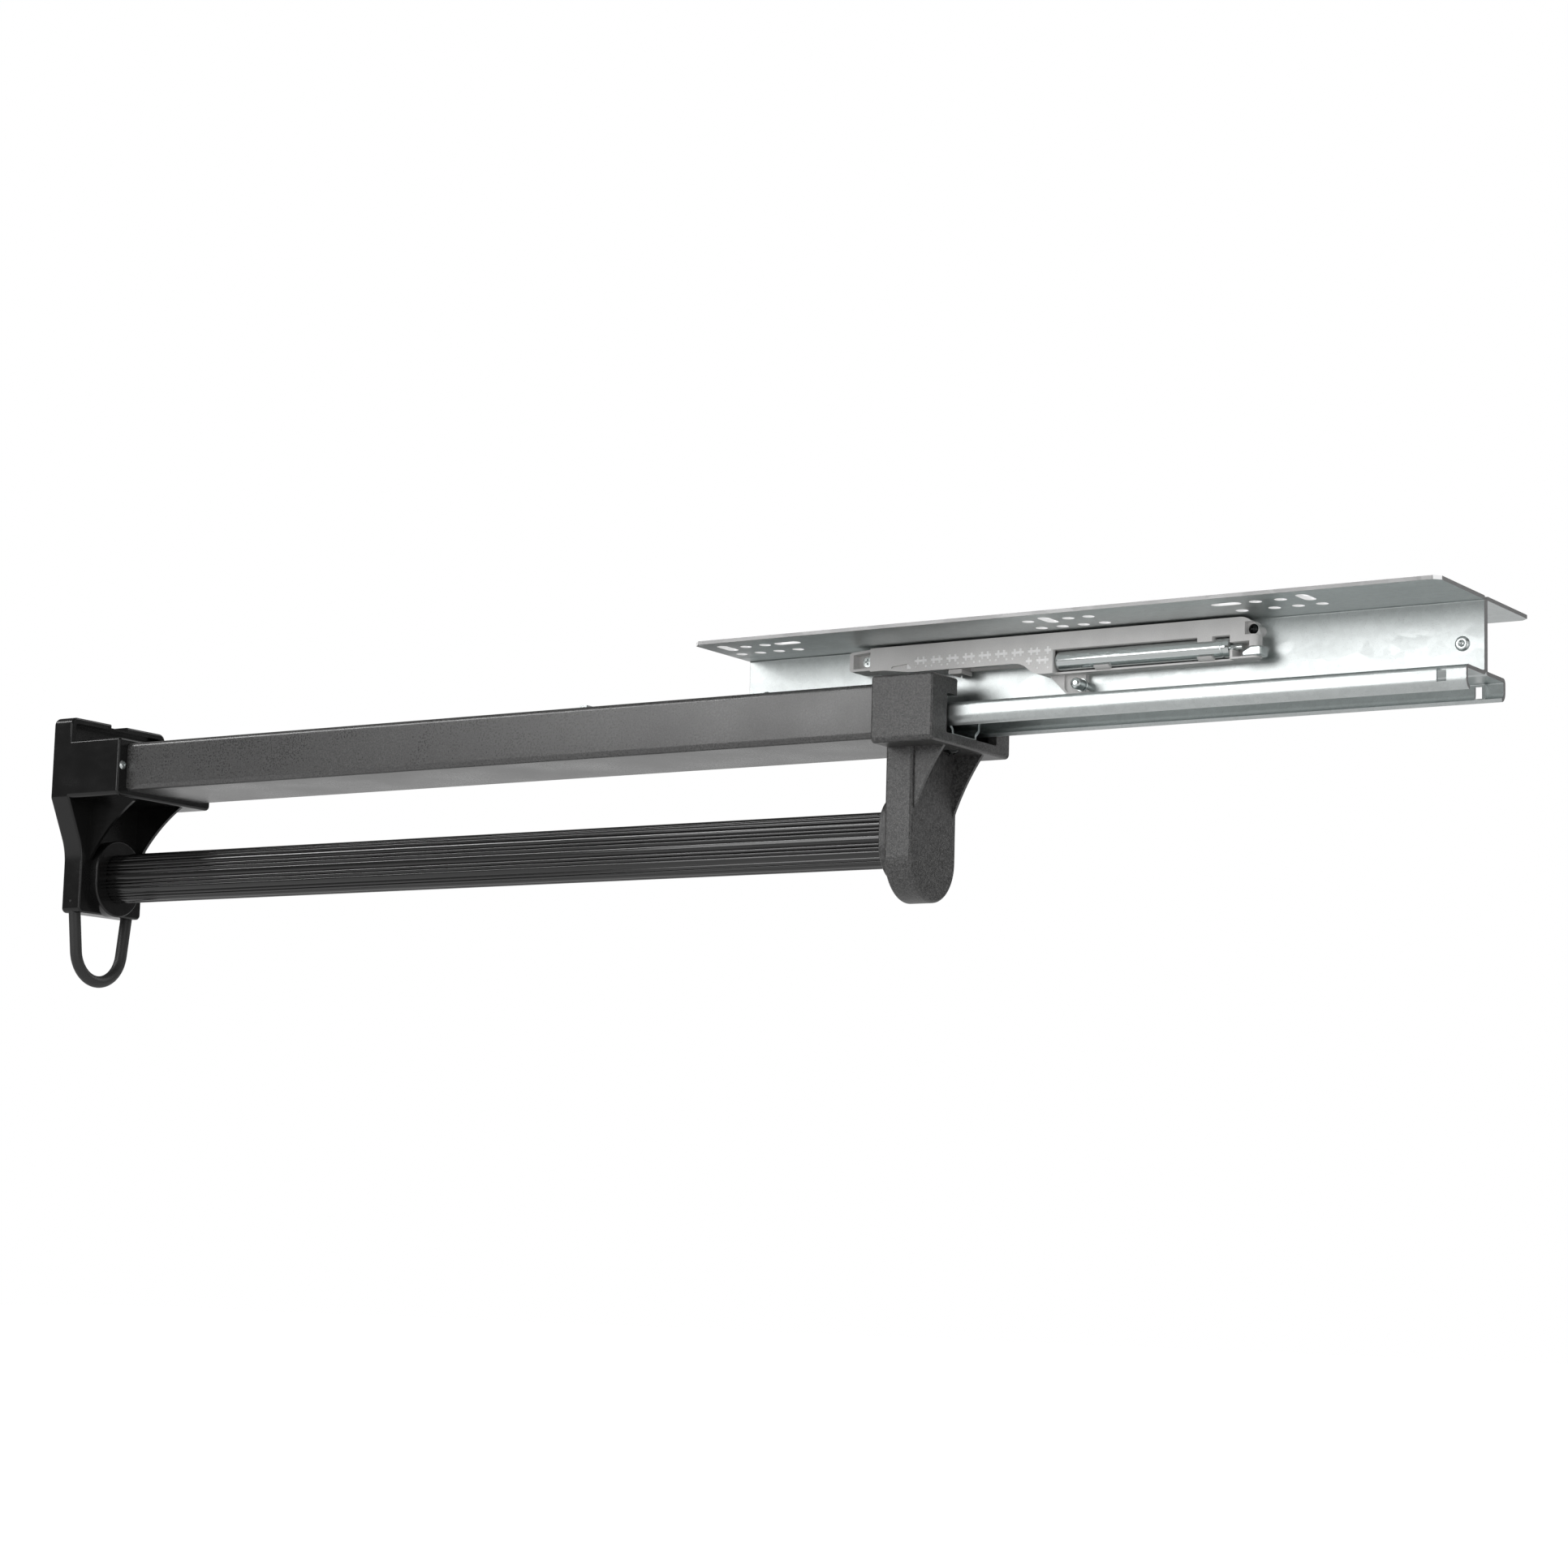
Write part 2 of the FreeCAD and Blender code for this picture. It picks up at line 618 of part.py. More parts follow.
def ornament_cutters():
    """Row of cross pairs with dots below them, and a second row in the deep corner."""
    second_row_z = ORNAMENT_Z - SECOND_ROW_DROP
    centres = [ORNAMENT_START + index * ORNAMENT_PITCH for index in range(ORNAMENT_COUNT)]
    after_last = centres[-1] + ORNAMENT_PITCH
    crosses = [(x + side * CROSS_OFFSET, ORNAMENT_Z) for x in centres for side in (-1, 1)]
    crosses.append((after_last - CROSS_OFFSET, ORNAMENT_Z))
    crosses.append((centres[-1] - ORNAMENT_PITCH / 2 + CROSS_OFFSET, second_row_z))
    crosses += [(centres[-1] + ORNAMENT_PITCH / 2 + side * CROSS_OFFSET, second_row_z) for side in (-1, 1)]
    dot_offset = ORNAMENT_PITCH / 2 - CROSS_OFFSET
    dots = [(x + side * dot_offset, ORNAMENT_Z - DOT_DROP) for x in centres[:-1] for side in (-1, 1)]
    cutters = [bar_y(DOT_RADIUS, UNIT_FACE_Y - PAST, UNIT_FACE_Y + ORNAMENT_DEPTH, x, z)
               for x, z in dots[:-1] + list(LOW_DOTS)]
    for x, z in crosses:
        cutters += cross(x, z)
    return cutters


def cylinder_clips():
    """Clips that hold the damper: two arms bent round it from below and a small bite above it."""
    room = bar_x(CYLINDER_RADIUS, WINDOW_FRONT, WINDOW_REAR, CYLINDER_Y, CYLINDER_Z)
    outside = CYLINDER_RADIUS + CLIP_THICKNESS
    arms = [bar_x(outside, *x_range, CYLINDER_Y, CYLINDER_Z).common(
                block(*x_range, CYLINDER_Y - outside - PAST, LOWER_CLIP_ROOT_Y, DEEP_BOTTOM, LOWER_CLIP_TOP))
            for x_range in LOWER_CLIPS]
    bite = block(*UPPER_CLIP, UNIT_FACE_Y, CYLINDER_Y, WINDOW_TOP - CLIP_BITE, WINDOW_TOP + CLIP_ROOT)
    return [clip.cut(room) for clip in arms + [bite]]


def housing_front_tab():
    """Tab with a walled pocket for the front screw."""
    tab = prism(tab_outline(), "y", UNIT_FACE_Y, UNIT_WEB_Y)
    front = TAB_FRONT + TAB_END_WALL
    outline = sharp([(front, TAB_FRONT_TOP - TAB_RIM), (UNIT_FRONT, TAB_REAR_TOP - TAB_RIM),
                     (UNIT_FRONT, TAB_BOTTOM + TAB_RIM), (front, TAB_BOTTOM + TAB_RIM)])
    pocket = prism(outline, "y", UNIT_FACE_Y - PAST, TAB_FLOOR_Y)
    return tab.cut(pocket)


def housing_ear():
    """Ear below the housing, thinner round the peg, with a slot that is open to the rear."""
    root = DEEP_BOTTOM + PAST
    ear_face = UNIT_WEB_Y - EAR_THICKNESS
    ear = prism([(EAR_FRONT, root, 0), (EAR_REAR, root, 0), (EAR_REAR, EAR_BOTTOM, EAR_EDGE_RADIUS),
                 (EAR_CORNER_X, EAR_BOTTOM, EAR_RADIUS)], "y", ear_face, UNIT_WEB_Y)
    pad = prism([(EAR_PAD_FRONT, DEEP_BOTTOM, 0), (EAR_REAR + PAST, DEEP_BOTTOM, 0),
                 (EAR_REAR + PAST, EAR_PAD_BOTTOM, 0), (EAR_PAD_FRONT, EAR_PAD_BOTTOM, EAR_RADIUS)], "y",
                ear_face - PAST, ear_face + EAR_PAD_DEPTH)
    slot = block(PEG_X, EAR_REAR + PAST, ear_face, UNIT_WEB_Y, PEG_Z - PEG_NECK_RADIUS, PEG_Z + PEG_NECK_RADIUS)
    over_plate = block(UNIT_FRONT, UNIT_REAR, UNIT_WEB_Y - COVER_THICKNESS, UNIT_WEB_Y, DEEP_BOTTOM, UNIT_TOP)
    return ear.cut([pad, slot, over_plate])


def rear_screw_boss():
    """Boss round the rear screw, from the housing to the rail's web."""
    return bar_y(REAR_BOSS_RADIUS, UNIT_REAR_BACK_Y - PAST, UNIT_WEB_Y, REAR_SCREW_X, UNIT_SCREW_Z)


def soft_close_housing():
    """Moulded housing: slider room, damper window, front tab, ear and screw recess."""
    cover_y = UNIT_WEB_Y - COVER_THICKNESS
    slab = prism(unit_outline(), "y", UNIT_FACE_Y, cover_y)
    rear_plan = [(UNIT_FRONT - PAST, UNIT_FACE_Y, 0), (UNIT_REAR, UNIT_FACE_Y, UNIT_REAR_EASE),
                 (UNIT_REAR, UNIT_REAR_BACK_Y, 0), (UNIT_REAR_BACK, UNIT_REAR_BACK_Y, 0),
                 (UNIT_REAR_BACK, cover_y, 0), (UNIT_FRONT - PAST, cover_y, 0)]
    body = slab.common(prism(rear_plan, "z", DEEP_BOTTOM - PAST, UNIT_TOP + PAST))
    slot_y0 = UNIT_FACE_Y + UNIT_WALL
    slider_room = block(CATCH_FRONT - PAST, CAVITY_REAR, slot_y0, cover_y, CAVITY_BOTTOM, CAVITY_TOP)
    spring_room = block(CAVITY_FRONT, CATCH_FRONT, slot_y0, cover_y, SPRING_ROOM_BOTTOM, CAVITY_TOP)
    stem_slot = block(CATCH_FRONT - PAST, CATCH_REAR + CATCH_TRAVEL, slot_y0, STEM_Y[1] + ROD_CLEARANCE,
                      DEEP_BOTTOM - PAST, CAVITY_BOTTOM)
    rod_reach = PISTON_ROD_RADIUS + 2 * ROD_CLEARANCE
    rod_room = block(CATCH_REAR, WINDOW_FRONT, CYLINDER_Y - rod_reach, CYLINDER_Y + rod_reach,
                     PISTON_ROD_Z - PISTON_ROD_RADIUS - ROD_CLEARANCE, CAVITY_TOP)
    window = block(WINDOW_FRONT, WINDOW_REAR, UNIT_FACE_Y - PAST, WINDOW_BACK_Y, WINDOW_BOTTOM, WINDOW_TOP)
    sill_front = block(WINDOW_FRONT, WINDOW_REAR, UNIT_FACE_Y - PAST, SILL_FACE_Y, DEEP_BOTTOM - PAST, CYLINDER_Z)
    neck_notch = block(WINDOW_REAR, TAIL_NOTCH_FRONT, UNIT_FACE_Y - PAST, CYLINDER_Y + NECK_RADIUS,
                       CYLINDER_Z - NECK_RADIUS, CYLINDER_Z + NECK_RADIUS)
    tail_notch = block(TAIL_NOTCH_FRONT, TAIL_NOTCH_REAR, UNIT_FACE_Y - PAST, LUG_BACK_Y, WINDOW_BOTTOM, TAIL_NOTCH_TOP)
    screw_recess = block(REAR_RECESS_FRONT, UNIT_REAR + PAST, UNIT_FACE_Y - PAST, REAR_SCREW_SEAT_Y,
                         REAR_RECESS_BOTTOM, REAR_RECESS_TOP)
    ramp_recess = prism([(x, z, RAMP_RECESS_RADIUS) for x, z in RAMP_RECESS], "y", UNIT_FACE_Y - PAST,
                        UNIT_FACE_Y + RAMP_RECESS_DEPTH)
    screw_holes = [bar_y(UNIT_SCREW_RADIUS, UNIT_FACE_Y, 0, x, UNIT_SCREW_Z)
                   for x in (FRONT_SCREW_X, REAR_SCREW_X)]
    peg_hole = bar_y(PEG_NECK_RADIUS, UNIT_FACE_Y, 0, PEG_X, PEG_Z)
    cutters = [slider_room, spring_room, stem_slot, rod_room, window, sill_front, neck_notch, tail_notch,
               screw_recess, ramp_recess, front_screw_cone(), peg_hole, damper_tail_lug()]
    cutters += screw_holes + ornament_cutters()
    hollow = union([body, housing_front_tab(), housing_ear(), rear_screw_boss()]).cut(cutters)
    return union([hollow] + cylinder_clips())


def soft_close_back_plate():
    """Cover on the housing's web side."""
    cover_y = UNIT_WEB_Y - COVER_THICKNESS
    plate = prism(unit_outline(), "y", cover_y, UNIT_WEB_Y)
    front_tab = block(TAB_FRONT, UNIT_FRONT + TAB_OVERLAP, cover_y, UNIT_WEB_Y, DEEP_BOTTOM, 0)
    rear_step = block(UNIT_REAR_BACK, UNIT_REAR + PAST, cover_y, UNIT_WEB_Y, DEEP_BOTTOM - PAST, 0)
    return plate.cut([front_tab, rear_step, rear_screw_boss()])


def damper_cylinder():
    """Damper cylinder with its bore, the hole for the piston rod and the tail neck."""
    body = bar_x(CYLINDER_RADIUS, CYLINDER_FRONT, CYLINDER_REAR, CYLINDER_Y, CYLINDER_Z)
    bore = bar_x(CYLINDER_BORE, CYLINDER_FRONT + CYLINDER_CAP, CYLINDER_REAR - CYLINDER_CAP, CYLINDER_Y, CYLINDER_Z)
    rod_hole = bar_x(PISTON_ROD_RADIUS + CYLINDER_ROD_CLEARANCE, CYLINDER_FRONT - PAST,
                     CYLINDER_FRONT + CYLINDER_CAP + PAST, CYLINDER_Y, PISTON_ROD_Z)
    groove_x = CYLINDER_REAR - GROOVE_START
    groove = bar_x(CYLINDER_RADIUS, groove_x, groove_x + GROOVE_WIDTH, CYLINDER_Y, CYLINDER_Z).cut(
        bar_x(CYLINDER_RADIUS - GROOVE_DEPTH, CYLINDER_FRONT, CYLINDER_REAR, CYLINDER_Y, CYLINDER_Z))
    neck = bar_x(NECK_RADIUS, CYLINDER_REAR - PAST, NECK_END, CYLINDER_Y, CYLINDER_Z)
    return union([body, neck]).cut([bore, rod_hole, groove])


def damper_tail_lug():
    """Bright end piece at the housing's lower rear corner, tapered towards the damper."""
    outline = [(LUG_FRONT, WINDOW_BOTTOM, 0), (LUG_REAR, WINDOW_BOTTOM, LUG_RADIUS), (LUG_REAR, LUG_TOP, LUG_RADIUS),
               (LUG_TAPER_END, LUG_TOP, LUG_RADIUS), (LUG_FRONT, LUG_TAPER_Z, 0)]
    return prism(outline, "y", UNIT_FACE_Y, LUG_BACK_Y)


def front_screw_cone():
    """Countersunk head of the front screw, which is also its sink in the tab."""
    return Part.makeCone(FRONT_SCREW_HEAD, UNIT_SCREW_RADIUS, FRONT_SCREW_SINK,
                         FreeCAD.Vector(FRONT_SCREW_X, TAB_FLOOR_Y, UNIT_SCREW_Z), Y_AXIS)


def housing_front_screw():
    """Countersunk Phillips screw in the front tab."""
    shank = bar_y(UNIT_SCREW_RADIUS, TAB_FLOOR_Y + FRONT_SCREW_SINK, RAIL_SHEET, FRONT_SCREW_X, UNIT_SCREW_Z)
    recess = turned(phillips(FRONT_SCREW_HEAD, RECESS_DEPTH), -Y_AXIS,
                    FreeCAD.Vector(FRONT_SCREW_X, TAB_FLOOR_Y, UNIT_SCREW_Z))
    return union([front_screw_cone(), shank]).cut(recess)


def housing_rear_screw():
    """Pan head screw at the bottom of the recess, which is open to the rear."""
    screw = pan_screw(REAR_SCREW_HEAD, REAR_SCREW_HEAD_HEIGHT, UNIT_SCREW_RADIUS, RAIL_SHEET - REAR_SCREW_SEAT_Y)
    return turned(screw, -Y_AXIS, FreeCAD.Vector(REAR_SCREW_X, REAR_SCREW_SEAT_Y, UNIT_SCREW_Z))


def locating_peg():
    """Steel peg on the rail's web: a neck in the ear's slot, a flange, a groove and a thick end."""
    flange_y0, flange_y1 = PEG_FLANGE
    return union([bar_y(PEG_RADIUS, PEG_END_Y, PEG_SHOULDER_Y, PEG_X, PEG_Z),
                  bar_y(PEG_GROOVE_RADIUS, PEG_SHOULDER_Y, flange_y0, PEG_X, PEG_Z),
                  bar_y(PEG_FLANGE_RADIUS, flange_y0, flange_y1, PEG_X, PEG_Z),
                  bar_y(PEG_NECK_RADIUS, flange_y1, UNIT_WEB_Y, PEG_X, PEG_Z)])


def spring_centre():
    """Y and Z of the closing spring's axis, the middle of the slider room."""
    room_y0 = UNIT_FACE_Y + UNIT_WALL
    room_y1 = UNIT_WEB_Y - COVER_THICKNESS
    return (room_y0 + room_y1) / 2, (CAVITY_TOP + CAVITY_BOTTOM) / 2


def closing_spring():
    """Compressed coil spring between the room's front wall and the catch."""
    y, z = spring_centre()
    start = CAVITY_FRONT + SPRING_WIRE
    length = CATCH_FRONT - SPRING_WIRE - start
    helix = Part.makeHelix(SPRING_PITCH, length, SPRING_RADIUS)
    wire_circle = Part.Wire(Part.makeCircle(SPRING_WIRE / 2, FreeCAD.Vector(SPRING_RADIUS, 0, 0), Y_AXIS))
    coil = Part.Wire(helix.Edges).makePipeShell([wire_circle], True, True)
    return turned(coil, X_AXIS, FreeCAD.Vector(start, y, z))


def catch_slider():
    """Slider with the spring's seat and, below the housing, a shoe whose notch takes the tube's finger."""
    y0 = UNIT_FACE_Y + UNIT_WALL + CATCH_GAP
    y1 = UNIT_WEB_Y - COVER_THICKNESS - CATCH_GAP
    body = prism(rectangle(CATCH_FRONT, CATCH_REAR, CAVITY_BOTTOM + CATCH_GAP, CAVITY_TOP - CATCH_GAP, CATCH_RADIUS),
                 "y", y0, y1)
    stem = block(*STEM_X, *STEM_Y, SHOE_TOP - SHOE_RADIUS, CAVITY_BOTTOM + PAST)
    shoe = prism(rectangle(*SHOE_X, SHOE_BOTTOM, SHOE_TOP, SHOE_RADIUS), "y", *SHOE_Y)
    notch = block(*SHOE_NOTCH_X, SHOE_NOTCH_FRONT_Y, SHOE_Y[1] + PAST, SHOE_BOTTOM - PAST, SHOE_NOTCH_TOP)
    seat = bar_x(SPRING_SEAT, CATCH_FRONT - CATCH_SOCKET, CATCH_FRONT + PAST, *spring_centre())
    socket_end = CATCH_REAR - CATCH_SOCKET
    rod_hole = bar_x(PISTON_ROD_RADIUS, socket_end, CATCH_REAR + PAST, CYLINDER_Y, PISTON_ROD_Z)
    rod_reach = PISTON_ROD_RADIUS + ROD_CLEARANCE
    rod_room = block(socket_end, CATCH_REAR, CYLINDER_Y - rod_reach, CYLINDER_Y + rod_reach,
                     NARROW_BOTTOM, PISTON_ROD_Z)
    return union([body, seat, stem, shoe.cut(notch)]).cut([rod_hole, rod_room])


def piston_rod():
    """Piston rod from the catch into the damper, with its piston."""
    rod = bar_x(PISTON_ROD_RADIUS, CATCH_REAR - CATCH_SOCKET, PISTON_X + PAST, CYLINDER_Y, PISTON_ROD_Z)
    piston = bar_x(PISTON_RADIUS, PISTON_X, PISTON_X + PISTON_LENGTH, CYLINDER_Y, CYLINDER_Z)
    return union([rod, piston])


# --- Ball cage ----------------------------------------------------------------------------------------

def ball_places():
    """X and Y of every ball's centre."""
    middle = CAGE_REAR - CAGE_LENGTH / 2
    first = middle - BALL_PITCH * (BALLS_PER_SIDE - 1) / 2
    return [(first + index * BALL_PITCH, side * BALL_Y) for side in (-1, 1) for index in range(BALLS_PER_SIDE)]


def ball_cage():
    """Sheet cage over the balls, with a pocket round each of them."""
    path = [(CAGE_HALF, CAGE_BOTTOM, 0), (CAGE_HALF, CAGE_TOP, CAGE_BEND), (-CAGE_HALF, CAGE_TOP, CAGE_BEND),
            (-CAGE_HALF, CAGE_BOTTOM, 0)]
    strip = folded_sheet(path, CAGE_SHEET, CAGE_REAR - CAGE_LENGTH, CAGE_REAR)
    pockets = [bar_y(CAGE_POCKET_RADIUS, y - PAST, y + PAST, x, BALL_Z) for x, y in ball_places()]
    return strip.cut(pockets)


def cage_balls():
    """Steel balls, two rows."""
    return Part.makeCompound([Part.makeSphere(BALL_RADIUS, FreeCAD.Vector(x, y, BALL_Z)) for x, y in ball_places()])


# --- Carriage: channel and tube -----------------------------------------------------------------------

def through_tube_holes():
    """Cutters for the channel rivets and for the screw under the rear bracket."""
    bottom = BLOCK_BOTTOM - 2
    top = TUBE_BOTTOM + TUBE_WALL + CHANNEL_SHEET + 1
    rivets = [bar_z(CHANNEL_RIVET_RADIUS, bottom, top, x, 0) for x in CHANNEL_RIVET_X]
    return rivets + [bar_z(TUBE_SCREW_RADIUS, bottom, top, TUBE_SCREW_X, 0)]


def inner_channel():
    """Running channel on the tube's floor, with a ball race along each top edge."""
    sweep = math.radians(CHANNEL_LIP_SWEEP)
    wall = BALL_Y - RACE_RADIUS
    floor = TUBE_BOTTOM + TUBE_WALL
    left_half = [
        (-(BALL_Y - RACE_RADIUS * math.cos(sweep)), BALL_Z + RACE_RADIUS * math.sin(sweep), 0),
        (-wall, BALL_Z + RACE_RADIUS * math.tan(sweep / 2), RACE_RADIUS),
        (-wall, CHANNEL_STEP_Z0, CHANNEL_STEP_BEND),
        (-CHANNEL_FOOT_HALF, CHANNEL_STEP_Z1, CHANNEL_FOOT_BEND),
        (-CHANNEL_FOOT_HALF, floor, CHANNEL_FOOT_BEND),
    ]
    path = left_half + [(-y, z, radius) for y, z, radius in reversed(left_half)]
    channel = folded_sheet(path, CHANNEL_SHEET, CHANNEL_REAR - CHANNEL_LENGTH, CHANNEL_REAR)
    return channel.cut(through_tube_holes())


def channel_rivets():
    """Rivets that hold the channel in the tube, sunk a little in the tube's underside."""
    floor_top = TUBE_BOTTOM + TUBE_WALL + CHANNEL_SHEET
    rivets = []
    for x in CHANNEL_RIVET_X:
        shank = bar_z(CHANNEL_RIVET_RADIUS, TUBE_BOTTOM + CHANNEL_RIVET_RECESS, floor_top, x, 0)
        head = dome(CHANNEL_RIVET_HEAD, RIVET_HEAD_HEIGHT).translated(FreeCAD.Vector(x, 0, floor_top))
        rivets.append(union([shank, head]))
    return Part.makeCompound(rivets)


def hanger_tube():
    """Black tube with a slot along its top, which the rail's web passes through."""
    right_half = [
        (TUBE_SLOT_HALF, TUBE_LIP_BOTTOM, 0),
        (TUBE_SLOT_HALF, TUBE_TOP, TUBE_BEND),
        (TUBE_HALF, TUBE_TOP, TUBE_BEND),
        (TUBE_HALF, TUBE_BOTTOM, TUBE_BEND),
    ]
    path = [(-y, z, radius) for y, z, radius in right_half] + right_half[::-1]
    tube = folded_sheet(path, TUBE_WALL, TUBE_FRONT, TUBE_REAR)
    return tube.cut(through_tube_holes() + finger_rivet_holes())


def finger_rivet_places():
    """X of the finger's two rivets."""
    return (FINGER_X - FINGER_RIVET_REACH, FINGER_X + FINGER_RIVET_REACH)


def finger_rivet_holes():
    """Cutters for the finger's rivets, through the tube's near lip and the finger's wall."""
    return [bar_y(FINGER_RIVET_RADIUS, -TUBE_SLOT_HALF - TUBE_WALL - PAST, -TUBE_SLOT_HALF + FINGER_SHEET + PAST,
                  x, FINGER_RIVET_Z) for x in finger_rivet_places()]


def catch_actuator():
    """Finger: a wall on the tube's lip, an arm, and a tooth under the catch."""
    x0 = FINGER_X - FINGER_LENGTH / 2
    x1 = FINGER_X + FINGER_LENGTH / 2
    wall_y = -TUBE_SLOT_HALF
    arm_bottom = FINGER_ARM_TOP - FINGER_SHEET
    wall = block(x0, x1, wall_y, wall_y + FINGER_SHEET, FINGER_BOTTOM, FINGER_ARM_TOP)
    arm = block(x0, x1, wall_y, FINGER_TIP_Y, arm_bottom, FINGER_ARM_TOP)
    tooth = block(FINGER_X - FINGER_TOOTH_LENGTH / 2, FINGER_X + FINGER_TOOTH_LENGTH / 2, STEM_Y[0], FINGER_TIP_Y,
                  arm_bottom, FINGER_TOOTH_TOP)
    return union([wall, arm, tooth]).cut(finger_rivet_holes())


def actuator_rivet():
    """Two rivets that hold the finger on the tube's lip."""
    near_y = -TUBE_SLOT_HALF - TUBE_WALL
    far_y = -TUBE_SLOT_HALF + FINGER_SHEET
    head = dome(FINGER_RIVET_HEAD, FINGER_RIVET_HEIGHT)
    rivets = []
    for x in finger_rivet_places():
        shank = bar_y(FINGER_RIVET_RADIUS, near_y, far_y, x, FINGER_RIVET_Z)
        near_head = turned(head, -Y_AXIS, FreeCAD.Vector(x, near_y, FINGER_RIVET_Z))
        far_head = turned(head, Y_AXIS, FreeCAD.Vector(x, far_y, FINGER_RIVET_Z))
        rivets.append(union([shank, near_head, far_head]))
    return Part.makeCompound(rivets)


# --- Brackets -----------------------------------------------------------------------------------------

def bracket_block(x0, x1, top):
    """Block round the tube's end, with rounded lower edges."""
    outline = symmetric([(BRACKET_HALF, top, BRACKET_TOP_EDGE), (BRACKET_HALF, BLOCK_BOTTOM, BRACKET_EDGE)])
    return eased(eased(prism(outline, "x", x0, x1), BLOCK_EASE, "x", x0), BLOCK_EASE, "x", x1)


def tube_socket(x0, x1):
    """Room for the tube's end in a block."""
    outer_bend = TUBE_BEND + TUBE_WALL
    return prism(rectangle(-TUBE_HALF, TUBE_HALF, TUBE_BOTTOM, TUBE_TOP, outer_bend), "x", x0, x1)


def ribs(block_end, along, wall_x, wall_z):
    """Two concave ribs between a block's underside and the wall below it."""
    top = BLOCK_BOTTOM + PAST
    inside = wall_x - math.copysign(PAST, block_end - wall_x)
    solids = []
    for side in (-1, 1):
        y = side * RIB_Y - RIB_THICKNESS / 2
        start, middle, end = (FreeCAD.Vector(x, y, z) for x, z in ((block_end, BLOCK_BOTTOM), along, (wall_x, wall_z)))
        corners = [end, FreeCAD.Vector(inside, y, wall_z), FreeCAD.Vector(inside, y, top),
                   FreeCAD.Vector(block_end, y, top), start]
        edges = [Part.Arc(start, middle, end).toShape()]
        edges += [Part.makeLine(p, q) for p, q in zip(corners, corners[1:])]
        solids.append(Part.Face(Part.Wire(edges)).extrude(Y_AXIS * RIB_THICKNESS))
    return solids


def rod_room(x0, x1):
    """Space that the hanger rod takes in a collar."""
    return prism(obround(ROD_HALF_WIDTH, ROD_HALF_HEIGHT), "x", x0, x1)


def front_bracket():
    """Front plate with the block round the tube, two ribs and the rod's collar."""
    outline = symmetric([
        (BRACKET_HALF, PLATE_TOP, PLATE_TOP_RADIUS),
        (BRACKET_HALF, PLATE_SHOULDER_Z, PLATE_SHOULDER_RADIUS),
        (PLATE_NECK_HALF, PLATE_NECK_Z, PLATE_NECK_RADIUS),
        (PLATE_NECK_HALF, PLATE_BOTTOM, PLATE_BOTTOM_RADIUS),
    ])
    plate = eased(prism(outline, "x", PLATE_FRONT, PLATE_REAR), PLATE_FRONT_EASE, "x", PLATE_FRONT)
    plate = eased(plate, PLATE_REAR_EASE, "x", PLATE_REAR)
    body = bracket_block(PLATE_REAR - 2 * BLOCK_EASE, FRONT_BLOCK_REAR, FRONT_BLOCK_TOP)
    collar = eased(prism(obround(COLLAR_HALF_WIDTH, COLLAR_HALF_HEIGHT), "x", PLATE_REAR - PAST, FRONT_COLLAR_END),
                   COLLAR_EASE, "x", FRONT_COLLAR_END)
    rib_pair = ribs(FRONT_RIB_START, FRONT_RIB_MIDDLE, PLATE_REAR, FRONT_RIB_FOOT)
    pocket = prism(rectangle(-BRACKET_HALF + POCKET_RIM, BRACKET_HALF - POCKET_RIM, FRONT_BLOCK_TOP,
                             PLATE_TOP - POCKET_RIM, POCKET_RADIUS), "x", PLATE_REAR - POCKET_DEPTH, PLATE_REAR)
    notch = block(RIM_NOTCH_FRONT, PLATE_REAR, -RIM_NOTCH_HALF, RIM_NOTCH_HALF, PLATE_TOP - RIM_NOTCH_DEPTH,
                  PLATE_TOP)
    screws = [bar_x(BLOCK_SCREW_RADIUS, FRONT_BLOCK_REAR - BLOCK_SCREW_LENGTH, FRONT_BLOCK_REAR, y, BLOCK_SCREW_Z)
              for y in (-BLOCK_SCREW_Y, BLOCK_SCREW_Y)]
    cutters = [tube_socket(TUBE_FRONT, FRONT_BLOCK_REAR), pocket, notch, rod_room(PLATE_REAR, FRONT_COLLAR_END),
               pull_loop()]
    return union([plate, body, collar] + rib_pair).cut(cutters + screws)


def front_block_screws():
    """Two Phillips screws beside the tube, in the block's rear face."""
    screw = pan_screw(BLOCK_SCREW_HEAD, BLOCK_SCREW_HEAD_HEIGHT, BLOCK_SCREW_RADIUS, BLOCK_SCREW_LENGTH)
    return Part.makeCompound([turned(screw, X_AXIS, FreeCAD.Vector(FRONT_BLOCK_REAR, y, BLOCK_SCREW_Z))
                              for y in (-BLOCK_SCREW_Y, BLOCK_SCREW_Y)])


